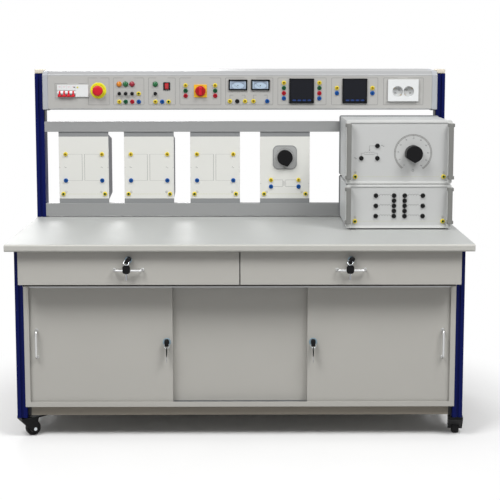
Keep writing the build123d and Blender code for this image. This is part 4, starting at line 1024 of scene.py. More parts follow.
@dataclass
class Workshop:
    """What every sub-assembly needs: the loaded frame and the shared effects."""

    frame: dict
    effects: Effects

    def piece(self, name: str) -> Piece:
        """Starts a new piece."""
        return Piece(name, self.effects)

    def copy(self, name: str, node: str, finish: Finish, rounding: float, slot: str,
             body: str = "root") -> None:
        """Dresses a CAD node as a piece of the same shape with softened edges.

        Args:
            name: The piece's name.
            node: The node.
            finish: Its finish.
            rounding: Radius of its edges.
            slot: The record's material slot.
            body: The body that it rides on.
        """
        piece = self.piece(name)
        piece.add(Part.of_node(self.frame, node, rounding), finish)
        piece.finish(body, slot, node)

    def dress(self, node: str, finish: Finish) -> None:
        """Gives a CAD node that stays as it is its material."""
        data = self.frame["nodes"][node].data
        data.materials.clear()
        data.materials.append(finish.material(self.effects))
        LOG.info("%s: dressed in %s", node, finish.name)


@dataclass
class Ink:
    """Printed line work on an upright face."""

    piece: Piece
    face: float
    finish: Finish
    width: float = 0.9
    height: float = 0.15

    def line(self, *spots: Spot) -> None:
        """Draws straight lines from spot to spot."""
        for start, end in zip(spots, spots[1:]):
            self.piece.add(Part.stroke(start, end, self.width, self.face, self.height), self.finish)

    def arc(self, centre: Spot, radius: float, first: float, last: float) -> None:
        """Draws an arc.

        Args:
            centre: X and z of its centre.
            radius: Its radius.
            first: Its first angle in degrees, from +x towards +z.
            last: Its last angle.
        """
        part = Part.arc(centre, radius, (first, last), self.width, self.face, self.height)
        self.piece.add(part, self.finish)

    def frame(self, x: Span, z: Span, corner: float, gap: Span | None = None) -> None:
        """Draws a rectangle with rounded corners.

        Args:
            x: Its limits to the side.
            z: Its limits in height.
            corner: Radius of its corners.
            gap: Where its top line is left out, or None.
        """
        left, right, low, high = x[0] + corner, x[1] - corner, z[0] + corner, z[1] - corner
        ends = gap or (sum(x) / 2, sum(x) / 2)
        self.line((left, z[1]), (ends[0], z[1]))
        self.line((ends[1], z[1]), (right, z[1]))
        self.line((left, z[0]), (right, z[0]))
        self.line((x[0], low), (x[0], high))
        self.line((x[1], low), (x[1], high))
        for quarter, spot in enumerate(((right, high), (left, high), (left, low), (right, low))):
            self.arc(spot, corner, 90 * quarter, 90 * quarter + 90)

    def winding(self, start: Spot, radius: float, turns: int) -> None:
        """Draws a row of half circles, the sign of a winding.

        Args:
            start: X and z of its left end.
            radius: Radius of each half circle.
            turns: How many there are.
        """
        for turn in range(turns):
            self.arc((start[0] + (2 * turn + 1) * radius, start[1]), radius, 0, 180)

    def dots(self, start: Spot, end: Spot, pitch: float) -> None:
        """Draws a level dotted line."""
        count = int(abs(end[0] - start[0]) / pitch)
        for step in range(count):
            x = start[0] + step * pitch
            self.line((x, start[1]), (x + pitch * 0.3, start[1]))

    def earth(self, centre: Spot) -> None:
        """Draws the sign of an earth terminal: bars of falling length in a circle."""
        x, z = centre
        self.arc(centre, 4.4, 0, 360)
        self.line((x, z + 3.2), (x, z))
        for drop, half in ((0.0, 2.6), (1.3, 1.7), (2.6, 0.8)):
            self.line((x - half, z - drop), (x + half, z - drop))

    def wave(self, centre: Spot, radius: float) -> None:
        """Draws the sign of an alternating voltage."""
        x, z = centre
        self.arc((x - radius, z), radius, 0, 180)
        self.arc((x + radius, z), radius, 180, 360)


class TableFaces(FaceChooser):
    """The board's top is laminate, its underside is backing, its rim is the edge band."""

    level = 0.97

    def finish_of(self, face: bmesh.types.BMFace) -> Finish:
        """Finish by the way the face looks."""
        if face.normal.z > self.level:
            return TABLE_LAMINATE
        return TABLE_UNDER if face.normal.z < -self.level else TABLE_EDGE


@dataclass
class BenchFrame:
    """Table top, posts, caps, stretchers, brackets and rails."""

    shop: Workshop
    front_radius: float = 6.0
    board_rounding: float = 1.0
    post_half: float = 17.5
    cap_width: float = 34.4
    cap_rounding: float = 4.0
    end_length: float = 22.0
    end_rounding: float = 3.0
    end_section: tuple[Spot, ...] = ((646.0, 1134.0), (846.0, 1134.0), (846.0, 1289.0),
                                     (668.0, 1283.0), (646.0, 1270.0))

    def build(self) -> None:
        """Builds the frame's pieces."""
        self._table_top()
        for name, node, finish, rounding, slot in (
                ("blue_legs", "base_legs", BLUE_POWDER, 0.9, "blue_profile"),
                ("blue_uprights", "uprights", BLUE_POWDER, 0.9, "blue_profile"),
                ("low_stretchers", "base_stretchers", STRETCHER_PAINT, 0.8, "stretcher_steel"),
                ("frame_angles", "frame_brackets", BLACK_BRACKET, 0.6, "black_bracket"),
                ("module_rails", "panel_rails", RAIL_ALLOY, 0.6, "rail_aluminium")):
            self.shop.copy(name, node, finish, rounding, slot)
        self._caps()

    def _table_top(self) -> None:
        """Laminated board with a round front edge and a band on its rim."""
        room = Limits.of("table_top")
        board = Part.block(room.x, room.depth, room.z, 0.0)
        board.mesh.normal_update()
        long_front = [edge for edge in board.mesh.edges
                      if all(abs(vert.co.y - room.depth[0]) < 0.1 for vert in edge.verts)
                      and abs(edge.verts[0].co.z - edge.verts[1].co.z) < 0.1]
        board.round_edges(long_front, self.front_radius, 6)
        board.round_edges(board.sharp_edges(60), self.board_rounding, 2)
        piece = self.shop.piece("laminated_top")
        piece.add_by_face(board, TableFaces())
        piece.finish("root", "table_board", "table_top")

    def _caps(self) -> None:
        """Moulded caps on the uprights, and the console's end mouldings."""
        posts, caps = Limits.of("uprights"), Limits.of("end_caps")
        inner = Limits.of("console_shell").x[1]
        tops = self.shop.piece("upright_caps")
        ends = self.shop.piece("console_end_mouldings")
        for side in Side:
            middle = side.value * (posts.x[1] - self.post_half)
            tops.add(Part.block(about(middle, self.cap_width), posts.depth, (posts.z[1], caps.z[1]),
                                self.cap_rounding, 4), BEIGE_CAP)
            start = inner if side is Side.RIGHT else -inner - self.end_length
            plane = Matrix(((0, 0, 1, start), (1, 0, 0, 0), (0, 1, 0, 0), (0, 0, 0, 1)))
            moulding = Part.profile(self.end_section, plane, self.end_length, self.end_rounding)
            ends.add(moulding, CONSOLE_CAP)
        tops.finish("root", "beige_cap", "end_caps")
        ends.finish("root", "beige_cap", "end_caps")


def proud(face: float, *corners: Spot) -> list[Spot]:
    """Section of a turned body from the radius and the height over a face of each corner."""
    return [(radius, face - height) for radius, height in corners]


def closed(front: list[Spot]) -> list[Spot]:
    """Whole outline of a turned section that is even about depth zero, from its front half."""
    return front + [(radius, -depth) for radius, depth in reversed(front)] + front[:1]


@dataclass
class Castors:
    """Four swivel castors, the front two with a brake pedal."""

    shop: Workshop
    leg_x: float = 767.5
    depths: dict[str, float] = field(default_factory=lambda: {"front": 134.0, "rear": 800.0})
    angles: dict[str, float] = field(default_factory=lambda: {
        "front_left": 30.0, "front_right": 84.0, "rear_left": -60.0, "rear_right": -120.0})
    trail: float = 32.0
    radius: float = 26.0
    half_width: float = 13.0
    shoulder: Spot = (1.4, 1.6)
    side_wall: float = 5.0
    hub_radius: float = 16.1
    boss_radius: float = 9.0
    bore: float = 4.1
    recess: float = 3.0
    fork_half: float = 25.3
    cap_radius: float = 6.0
    cap_height: float = 1.6

    def build(self) -> None:
        """Builds the castors."""
        for name, angle in self.angles.items():
            end, side = name.split("_")
            x = self.leg_x if side == "right" else -self.leg_x
            place = at(x, self.depths[end], 0, angle, "Z")
            self._wheel(name, place)
            self._fork(name, place)
            if end == "front":
                node = f"castor_{name}_pedal"
                self.shop.copy(f"brake_pedal_{side}", node, BLACK_PLASTIC, 1.2,
                               "castor_plastic", node)

    def _wheel(self, name: str, place: Matrix) -> None:
        """Rubber tyre on a hub with recessed sides."""
        half, hub, boss, wall = self.half_width, self.hub_radius, self.boss_radius, self.side_wall
        deep = half - self.recess
        tyre = closed([(hub, -half), (hub + wall, -half),
                       (self.radius - self.shoulder[0], self.shoulder[1] - half),
                       (self.radius, wall - half)])
        core = closed([(self.bore, -half), (boss, -half), (boss, -deep), (hub, -deep)])
        node = f"castor_{name}_wheel"
        piece = self.shop.piece(f"{node}_dressed")
        piece.add(Part.turned((self.trail, self.radius), tyre, 48), BLACK_RUBBER, place)
        piece.add(Part.turned((self.trail, self.radius), core, 32), HUB_PLASTIC, place)
        piece.finish(node, "castor_tyre", node)

    def _fork(self, name: str, place: Matrix) -> None:
        """Moulded fork with the caps of its axle."""
        node = f"castor_{name}_fork"
        piece = self.shop.piece(f"{node}_dressed")
        piece.add(Part.of_node(self.shop.frame, node, 1.4), BLACK_PLASTIC)
        for way in (-1, 1):
            depths = (way * (self.fork_half - 0.5), way * (self.fork_half + self.cap_height))
            cap = Part.disc((self.trail, self.radius), self.cap_radius, depths, 0.6, 24)
            piece.add(cap, CHROME, place)
        piece.finish(node, "castor_plastic", node)


@dataclass
class Cabinet:
    """Cabinet shell, centre panel, tracks, doors and drawers."""

    shop: Workshop
    screw_radius: float = 3.2
    screw_height: float = 1.2
    screw_inset: float = 10.0
    screw_columns: int = 7

    def build(self) -> None:
        """Builds the cabinet's pieces."""
        steel, zinc = "cabinet_steel", "zinc_steel"
        for copy in (("cabinet_body", "cabinet_shell", CABINET_PAINT, 0.5, steel),
                     ("centre_panel", "cabinet_centre_panel", CABINET_PAINT, 0.5, steel),
                     ("sliding_tracks", "door_tracks", ZINC, 0.0, zinc),
                     ("drawer_box_housing", "drawer_housing", CABINET_INNER, 0.4, steel),
                     ("runner_channels", "drawer_runners", ZINC, 0.3, zinc)):
            self.shop.copy(*copy)
        self._back()
        for side in Side:
            door, drawer = f"door_{side.word}", f"drawer_{side.word}"
            for copy in ((f"sliding_{door}", door, CABINET_PAINT, 0.6, steel, door),
                         (f"{drawer}_panel", f"{drawer}_front", CABINET_PAINT, 0.6, steel, drawer),
                         (f"{drawer}_inner_tray", f"{drawer}_tray", ZINC, 0.3, zinc, drawer)):
                self.shop.copy(*copy)

    def _back(self) -> None:
        """Back sheet with a row of screws along its edges."""
        room = Limits.of("cabinet_back")
        piece = self.shop.piece("rear_sheet")
        piece.add(Part.block(room.x, room.depth, room.z, 0.4), CABINET_PAINT)
        inset = self.screw_inset
        pitch = (room.x[1] - room.x[0] - 2 * inset) / (self.screw_columns - 1)
        depths = (room.depth[1] - 0.2, room.depth[1] + self.screw_height)
        for column in range(self.screw_columns):
            for z in (room.z[0] + inset, room.z[1] - inset):
                spot = (room.x[0] + inset + column * pitch, z)
                piece.add(Part.disc(spot, self.screw_radius, depths, 0.5, 16), ZINC)
        piece.finish("root", "cabinet_steel", "cabinet_back")


@dataclass(frozen=True)
class Fitting:
    """Bow handle and lock of a drawer or a door, its x counted outwards from the middle."""

    handle: Spot
    upright: bool
    lock: Spot
    depth: float
    tilt: float
    flange: float
    spare_turn: float
    spare_forward: float


DRAWER_FITTING = Fitting((381.0, 619.0), False, (381.0, 653.0), 30.0, 35.0, 12.0, 0.0, 8.0)
DOOR_FITTING = Fitting((712.0, 342.0), True, (256.5, 347.0), 107.0, 0.0, 14.5, 90.0, 0.0)


@dataclass
class Hardware:
    """Bow handles, locks and keys of the drawers and the doors."""

    shop: Workshop
    span: float = 96.0
    reach: float = 20.0
    bar: float = 4.0
    foot: float = 6.0
    bend: float = 12.0
    flange_thickness: float = 3.0
    barrel_radius: float = 9.0
    barrel_length: float = 14.0
    plug_radius: float = 6.0
    cam: tuple[float, float, float] = (16.0, 2.0, 8.0)
    neck: float = 4.0
    blade: Spot = (2.4, 6.0)
    head: tuple[float, float, float] = (17.0, 17.0, 26.0)
    head_rounding: float = 6.6
    hole_depth: float = 4.0
    hoop_radius: float = 9.0
    hoop_wire: float = 1.0
    spare_head: Spot = (26.0, 30.0)
    spare_thickness: float = 3.0
    spare_blade: tuple[float, float, float] = (6.0, 2.0, 22.0)

    def build(self) -> None:
        """Builds handles and keys of both drawers and both doors."""
        for side in Side:
            for build in (self._handle, self._key):
                build(f"drawer_{side.word}", DRAWER_FITTING, side.value)
                build(f"door_{side.word}", DOOR_FITTING, side.value)

    def _handle(self, owner: str, fitting: Fitting, sign: int) -> None:
        """Bow handle and the fixed barrel of the lock beside it.

        Args:
            owner: The body that carries them.
            fitting: Their places.
            sign: The side of the bench.
        """
        side = Vector((0, 0, 1)) if fitting.upright else Vector((1, 0, 0))
        depth, flange = fitting.depth, fitting.flange
        middle = Vector((sign * fitting.handle[0], depth, fitting.handle[1]))
        start = middle - side * (self.span / 2)
        rise = self.reach - self.bend
        moves = [(rise, self.bend, 90.0), (self.span - 2 * self.bend, self.bend, 90.0),
                 (rise, 0.0, 0.0)]
        piece = self.shop.piece(f"{owner}_bow_handle")
        piece.add(Part.pipe(start, Vector((0, -1, 0)), side, self.bar, moves), SATIN_ALLOY)
        for end in (0.0, self.span):
            foot = start + side * end
            piece.add(Part.disc((foot.x, foot.z), self.foot, (depth - 1.5, depth), 0.5, 24),
                      SATIN_ALLOY)
        face, back = depth - self.flange_thickness, depth + self.barrel_length
        hole, barrel = self.plug_radius + 0.05, self.barrel_radius
        rosette = [(hole, face + 0.8), (hole + 1.2, face), (flange - 1.2, face),
                   (flange, face + 1.2), (flange, depth), (barrel, depth), (barrel, back),
                   (hole, back), (hole, face + 0.8)]
        piece.add(Part.turned((sign * fitting.lock[0], fitting.lock[1]), rosette, 40), LOCK_CHROME)
        piece.finish(owner, "chrome_steel", f"{owner}_handle")

    def _key(self, owner: str, fitting: Fitting, sign: int) -> None:
        """Plug with its cam, the key in it, and a spare key on a wire ring.

        Args:
            owner: The body whose lock it is.
            fitting: The lock's place.
            sign: The side of the bench.
        """
        x, z = sign * fitting.lock[0], fitting.lock[1]
        face, back = fitting.depth - self.flange_thickness, fitting.depth + self.barrel_length
        piece = self.shop.piece(f"{owner}_lock_key")
        plug = Part.disc((x, z), self.plug_radius, (face + 0.3, back + 2.0), 0.4, 28)
        piece.add(plug, LOCK_CHROME)
        reach, thickness, height = self.cam
        piece.add(Part.block((x - reach, x), (back + 0.3, back + 0.3 + thickness), about(z, height),
                             0.4), ZINC)
        turn = at(x, 0, z, fitting.tilt)
        width, length, tall = self.head
        head_back = face - self.neck
        head_front = head_back - length
        piece.add(Part.block(about(0, self.blade[0]), (head_back - 2, face + 1),
                             about(0, self.blade[1]), 0.3), KEY_STEEL, turn)
        piece.add(Part.block(about(0, width), (head_front, head_back), about(0, tall),
                             self.head_rounding, 4), BLACK_PLASTIC, turn)
        forward = fitting.spare_forward
        lean = Vector((-math.sin(math.radians(fitting.tilt)) * self.hoop_radius, -forward / 2, 0))
        lean.z = -math.sqrt(self.hoop_radius ** 2 - lean.length_squared)
        hole = Vector((x, head_front + self.hole_depth, z))
        centre = hole + lean
        hoop = Part.hoop(centre, lean.cross(Vector((1, 0, 0))), self.hoop_radius, self.hoop_wire)
        piece.add(hoop, CHROME)
        hang = at(centre.x, hole.y - forward, centre.z - self.hoop_radius + self.hoop_wire,
                  fitting.spare_turn, "Z")
        high = self.spare_head[1]
        piece.add(Part.plate((0, -high / 2), self.spare_head, 9.0, about(0, self.spare_thickness),
                             0.8), BLACK_PLASTIC, hang)
        wide, thin, long = self.spare_blade
        piece.add(Part.plate((0, -high - long / 2 + 1), (wide, long + 2), 1.5, about(0, thin), 0.3),
                  KEY_STEEL, hang)
        piece.finish(f"{owner}_key", "black_plastic", f"{owner}_key")


@dataclass
class Console:
    """Supply console with its devices."""

    shop: Workshop
    face: float = 646.0
    group_z: Span = (1153.0, 1257.0)
    corner: float = 3.5
    estop: Spot = (-548.5, 1208.0)
    rotary: Spot = (-153.5, 1206.5)
    rocker: Spot = (-284.0, 1225.0)
    breaker: Spot = (-646.75, 1207.5)
    pole_start: float = -59.25
    pole_pitch: float = 17.5
    pivot_drop: float = 7.5
    lever_foot: float = 0.42
    bezel_inner: Spot = (7.6, 12.6)
    bezel_outer: Spot = (13.0, 15.0)
    analog: tuple[Spot, Spot] = ((-8.5, 1230.0), (78.5, 1230.0))
    analog_size: Spot = (72.0, 41.0)
    analog_frame: Spot = (4.6, 3.0)
    digital: tuple[Spot, Spot] = ((238.0, 1206.5), (444.0, 1206.5))
    digital_size: Spot = (96.0, 96.0)
    digital_frame: Spot = (3.6, 1.2)
    outlet: Spot = (631.0, 1209.0)
    well_depth: float = 17.0
    lamp_row: float = 1233.0
    fuse_row: float = 1196.5
    lamps: dict[float, Finish] = field(default_factory=lambda: {
        -467.5: LAMP_ORANGE, -443.0: LAMP_GREEN, -418.0: LAMP_RED, -328.0: LAMP_GREEN})

    def build(self) -> None:
        """Builds the console and what it carries."""
        shop = self.shop
        shop.copy("console_trunking", "console_shell", CONSOLE_ALLOY, 0.6, "console_aluminium")
        shop.copy("console_device_panel", "console_front", CONSOLE_PLATE, 0.3, "console_plate")
        self._prints()
        self._breaker()
        self._stop_button()
        self._rotary()
        self._rocker()
        self._analog_meters()
        self._digital_meters()
        self._outlet()
        self._lamps_and_fuses()

    def _prints(self) -> None:
        """Outlines of the device groups and the lines between meters and sockets."""
        piece = self.shop.piece("console_line_print")
        ink = Ink(piece, self.face, PRINT_GREY, 1.1)
        low, high = self.group_z
        groups = [
            ((-489.9, -372.1), (-452.8, -411.0)),
            ((-354.2, -250.8), (-325.5, -279.4)),
            ((-233.4, -74.4), (-189.8, -118.0)),
            ((-56.4, 127.0), (15.3, 62.4)),
            ((146.1, 333.2), (190.9, 285.4)),
            ((354.2, 533.5), (395.4, 492.9)),
            ((555.7, 709.3), (609.5, 650.1)),
        ]
        for x, gap in groups:
            ink.frame(x, (low, high), self.corner, gap)
        ink.line((-587.4, 1184.0), (-587.4, low), (-506.6, low), (-506.6, high), (-539.5, high))
        ink.line((-554.5, high), (-587.4, high), (-587.4, 1232.0))
        ink.line((-715.9, 1178.0), (-715.9, 1235.5), (-668.0, 1235.5))
        ink.line((-624.0, 1235.5), (-592.0, 1235.5))
        for left, right in ((-39.5, 19.0), (51.5, 105.0)):
            ink.line((left, 1177.0), (left, 1190.5), (left + 12, 1190.5))
            ink.line((right - 12, 1190.5), (right, 1190.5), (right, 1177.0))
        for x, _ in self.analog:
            ink.line((x - 36, 1203.0), (x + 36, 1203.0))
        for x, reach in ((-211.0, 14.0), (-96.5, -14.0)):
            for z in (1228.0, 1207.5, 1188.0):
                ink.line((x + math.copysign(9.5, reach), z), (x + reach, z))
        piece.finish("root", "console_plate")

    def _breaker(self) -> None:
        """Breaker body with its pole lines and marks, its toggles and its test button."""
        shop = self.shop
        x, z = self.breaker
        front = Limits.of("breaker_body").depth[0]
        piece = shop.piece("breaker_housing")
        piece.add(Part.of_node(shop.frame, "breaker_body", 0.0), WHITE_PLASTIC)
        start, pitch, pivot = x + self.pole_start, self.pole_pitch, z - self.pivot_drop
        lintel = Part.block((start + 0.3, start + 4 * pitch - 0.3), (front + 0.4, self.face + 4),
                            (pivot + 8.6, pivot + 14.0), 0.3)
        piece.add(lintel, WHITE_PLASTIC)
        grooves = Ink(piece, front, PRINT_FAINT, 0.6, 0.1)
        for pole in range(1, 5):
            grooves.line((start + pole * pitch, z + 7), (start + pole * pitch, z + 22.5))
        marks = Ink(piece, front, PINK_MARK, 1.0, 0.1)
        for pole in range(4):
            middle = start + (pole + 0.5) * pitch
            for half, rise in ((4.0, 17.0), (2.5, 13.5)):
                marks.line((middle - half, z + rise), (middle + half, z + rise))
        Ink(piece, front, PRINT_DARK, 3.6, 0.3).line((-641.5, 1221.0), (-639.5, 1221.0))
        piece.finish("root", "white_plastic", "breaker_body")
        self._breaker_levers(start, pivot)
        shop.copy("breaker_test_key", "breaker_test_button", YELLOW_COLLAR, 0.5,
                  "yellow_plastic", "breaker_test_button")

    def _breaker_levers(self, start: float, pivot: float) -> None:
        """Four tapered levers on a white hub, joined by a bar at their tips.

        Args:
            start: Where the first pole starts.
            pivot: Height of the hub's axis.
        """
        levers = self.shop.piece("breaker_levers")
        pitch = self.pole_pitch
        place = at(0, self.face, pivot, 140.0, "X")
        for pole in range(4):
            middle = start + (pole + 0.5) * pitch
            lever = Part.block(about(middle, 14.5), (-2.4, 2.4), (6.0, 20.0), 0.0)
            for vert in lever.mesh.verts:
                if vert.co.z < 10.0:
                    vert.co.x = middle + self.lever_foot * (vert.co.x - middle)
            lever.round_edges(lever.sharp_edges(), 1.0, 2)
            levers.add(lever, RED_PLASTIC, place)
            self._roller(levers, 8.3, (middle - 3.25, middle + 3.25), pivot, RED_PLASTIC)
        span = (start + pitch / 2 - 6.0, start + 3.5 * pitch + 6.0)
        levers.add(Part.block(span, (-2.5, 2.5), (15.0, 19.9), 1.2, 3), RED_DEEP, place)
        self._roller(levers, 7.6, (start + 0.4, start + 4 * pitch - 0.4), pivot, WHITE_PLASTIC)
        levers.finish("breaker_toggles", "red_plastic", "breaker_toggles")

    def _roller(self, piece: Piece, radius: float, x: Span, z: float, finish: Finish) -> None:
        """Adds a cylinder that runs from side to side in the plane of the plate."""
        length = x[1] - x[0]
        section = [(0.0, 0.0), (radius, 0.0), (radius, length), (0.0, length)]
        piece.add(Part.turned((0, 0), section, 36), finish, at(x[0], self.face, z, -90.0, "Z"))

    def _stop_button(self) -> None:
        """Round yellow collar and the red mushroom head."""
        collar = proud(self.face, (11.05, 0), (11.05, 3), (28.5, 3), (30.4, 2.2), (31, 0.8),
                       (31, 0), (11.05, 0))
        piece = self.shop.piece("stop_button_collar")
        piece.add(Part.turned(self.estop, collar, 56), YELLOW_COLLAR)
        rim = Ink(piece, self.face - 3.0, AMBER_MARK, 2.2, 0.1)
        for start in range(10, 360, 90):
            rim.arc(self.estop, 23.6, start, start + 60)
        piece.finish("root", "yellow_plastic", "switch_plates")
        front = Limits.of("estop_button").depth[0]
        head = proud(front, (0, -0.6), (9, 0), (15.5, -0.8), (18.6, -2.6), (20, -5.5), (20, -9.5),
                     (18.8, -12), (11, -12)) + proud(self.face, (11, -8.5), (0, -8.5))
        button = self.shop.piece("stop_button_head")
        button.add(Part.turned(self.estop, head, 48), RED_PLASTIC)
        button.finish("estop_button", "red_plastic", "estop_button")

    def _rotary(self) -> None:
        """Square plate and round knob with a bar grip."""
        x, z = self.rotary
        front, back = self.face - 3.0, self.face - 4.0
        plate = self.shop.piece("rotary_switch_plate")
        plate.add(Part.plate(self.rotary, (50.0, 50.0), 3.0, (front, self.face), 0.8), YELLOW_PLATE)
        Ink(plate, front, PRINT_GREY, 0.5, 0.1).arc(self.rotary, 22.4, 0, 360)
        plate.finish("root", "yellow_plastic", "switch_plates")
        room = Limits.of("rotary_switch_knob")
        base = proud(back, (0, 8), (18.2, 8), (19.4, 7.2), (20, 5.6), (20, 0.5), (19.4, 0), (4, 0))
        base += proud(room.depth[1], (4, 0), (0, 0))
        knob = self.shop.piece("rotary_knob")
        knob.add(Part.turned(self.rotary, base, 48), RED_DEEP)
        knob.add(Part.block(about(x, 12.0), (room.depth[0], back - 6.0), about(z, 33.0), 3.6, 4),
                 RED_PLASTIC)
        knob.finish("rotary_switch_knob", "red_plastic", "rotary_switch_knob")

    def _rocker(self) -> None:
        """Black bezel and the red rocker."""
        x, z = self.rocker
        bezel = self.shop.piece("rocker_bezel")
        (wide, high), (out, up) = self.bezel_inner, self.bezel_outer
        depth = (self.face - 3, self.face)
        for way in (-1, 1):
            bezel.add(Part.block((x + way * wide, x + way * out), depth, about(z, 2 * up), 0.6),
                      BLACK_PLASTIC)
            bezel.add(Part.block(about(x, 2 * wide), depth, (z + way * high, z + way * up), 0.5),
                      BLACK_PLASTIC)
        bezel.finish("root", "black_plastic", "switch_plates")
        key = self.shop.piece("rocker_key")
        room = Limits.of("rocker_button")
        share = 2 * (wide - 0.3) / (room.x[1] - room.x[0])
        key.add(Part.of_node(self.shop.frame, "rocker_button", 0.6), RED_LIT,
                resized((x, 0), share, 1.0))
        key.finish("rocker_button", "red_plastic", "rocker_button")

    def _analog_meters(self) -> None:
        """Moving-coil meters with dial, scale and needle."""
        front, back = Limits.of("analog_meters").depth
        width, height = self.analog_size
        margin, drop = self.analog_frame
        dial = front + drop
        piece = self.shop.piece("moving_coil_meters")
        for x, z in self.analog:
            case = Part.plate((x, z), (width, height), 1.5, (front, self.face), 0.5)
            case.recess(margin, drop)
            piece.add(case, METER_FRAME)
            piece.add(Part.plate((x, z), (width - 2 * margin, height - 2 * margin), 0.0,
                                 (dial - 0.4, dial - 0.05), 0.0), METER_RIM)
            for way in (-1, 1):
                edge = x + way * (width / 2 - margin - 3.0)
                piece.add(Part.plate((edge, z), (4.0, height - 2 * margin - 2), 0.5,
                                     (dial - 0.6, dial - 0.3), 0.0), METER_FACE)
            oval = (x, z - 3.4)
            piece.add(Part.disc(oval, 20.0, (dial - 0.7, dial - 0.4), 0.0, 40), METER_FACE,
                      resized(oval, 1.15, 0.58))
            pivot = (x, z - 10.0)
            scale = Ink(piece, dial - 0.4, PRINT_GREY, 0.8, 0.15)
            scale.arc(pivot, 24.0, 38, 142)
            for step in range(9):
                angle = 38 + step * 13
                scale.line(polar(pivot, angle, 24.0),
                           polar(pivot, angle, 25.8 if step % 2 else 27.0))
            needle = Ink(piece, dial - 1.2, PRINT_DARK, 0.5, 0.3)
            needle.line(pivot, (pivot[0] - 18.5, pivot[1] + 14.5))
            piece.add(Part.disc((x, z - 2.0), 1.8, (dial - 1.6, dial - 0.4), 0.3, 20), METER_FRAME)
            piece.add(Part.block(about(x, 66.0), (self.face, back), about(z, 35.0), 1.0),
                      BLACK_PLASTIC)
        piece.finish("root", "black_plastic", "analog_meters")

    def _digital_meters(self) -> None:
        """Square digital meters with a dark screen and four keys."""
        front, back = Limits.of("digital_meters").depth
        piece = self.shop.piece("square_digital_meters")
        for x, z in self.digital:
            case = Part.plate((x, z), self.digital_size, 2.0, (front, self.face), 0.9)
            case.recess(*self.digital_frame)
            piece.add(case, METER_FRAME)
            screen = (front + 0.5, front + 1.15)
            piece.add(Part.plate((x, z + 6.0), (86.0, 74.0), 1.5, screen, 0.3), METER_SCREEN)
            for step in range(4):
                key = (x + (step - 1.5) * 19.4 + 0.9, z - 36.0)
                piece.add(Part.plate(key, (14.0, 6.0), 2.4, (front - 0.3, front + 1.15), 0.5),
                          METER_KEYS)
            piece.add(Part.block(about(x, 90.0), (self.face, back), about(z, 90.0), 1.0),
                      BLACK_PLASTIC)
        piece.finish("root", "black_plastic", "digital_meters")

    def _outlet(self) -> None:
        """Double mains socket: frame, cover, wells with their contacts."""
        x, z = self.outlet
        front = Limits.of("power_outlet").depth[0]
        floor = front + self.well_depth
        piece = self.shop.piece("double_outlet")
        piece.add(Part.of_node(self.shop.frame, "power_outlet", 0.7), WHITE_PLASTIC)
        collar = proud(floor, (2.3, 0), (2.3, 1), (3.6, 1), (3.6, 0), (2.3, 0))
        for side in (-1, 1):
            well = (x + side * 21.25, z - 4.5)
            # Grey disc on each well's floor: painted shade in the recess.
            piece.add(Part.disc(well, 20.3, (floor - 0.4, floor - 0.05), 0.0, 48), OUTLET_WELL_SHADE)
            turn = -45 * side
            for end in (-1, 1):
                piece.add(Part.turned(polar(well, turn, 9.5 * end), collar, 20), PRINT_GREY)
                clip = polar(well, turn + 90, 18.2 * end)
                spring = Part.block(about(0, 4.0), (front + 3, floor), about(0, 1.6), 0.4)
                piece.add(spring, PIN_BRASS, at(clip[0], 0, clip[1], -turn))
        piece.finish("root", "white_plastic", "power_outlet")

    def _lamps_and_fuses(self) -> None:
        """Signal lamps with domed lenses, and fuse caps with a coin slot."""
        face = self.face
        dome = proud(face, (0, 9), (4, 8.8), (7.4, 7.6), (9.4, 5.4), (9.9, 2.4), (10.5, 2),
                     (10.5, 0), (0, 0))
        cap = proud(face, (0, 12), (5.2, 12), (6.2, 11.2), (6.2, 3), (7, 2.6), (7, 0), (0, 0))
        for number, (x, finish) in enumerate(self.lamps.items(), 1):
            lamp = self.shop.piece(f"signal_lamp_{number}")
            lamp.add(Part.turned((x, self.lamp_row), dome, 32), finish)
            lamp.finish("root", "lamp_plastic", "pilot_lamps")
        fuses = self.shop.piece("fuse_caps")
        row = self.fuse_row
        for x in self.lamps:
            fuses.add(Part.turned((x, row), cap, 28), BLACK_PLASTIC)
            fuses.add(Part.block(about(x, 8.0), (face - 12.2, face - 11.9), about(row, 1.2), 0.1),
                      METER_FRAME)
        fuses.finish("root", "black_plastic", "fuse_holders")


@dataclass
class ModuleFaces(FaceChooser):
    """A module plate's front is white between two grey strips, its rim and back are grey."""

    white: Span

    def finish_of(self, face: bmesh.types.BMFace) -> Finish:
        """Finish by the height and the way of the face."""
        inside = self.white[0] < face.calc_center_median().z < self.white[1]
        return MODULE_WHITE if inside and face.normal.y < -0.3 else MODULE_STRIP


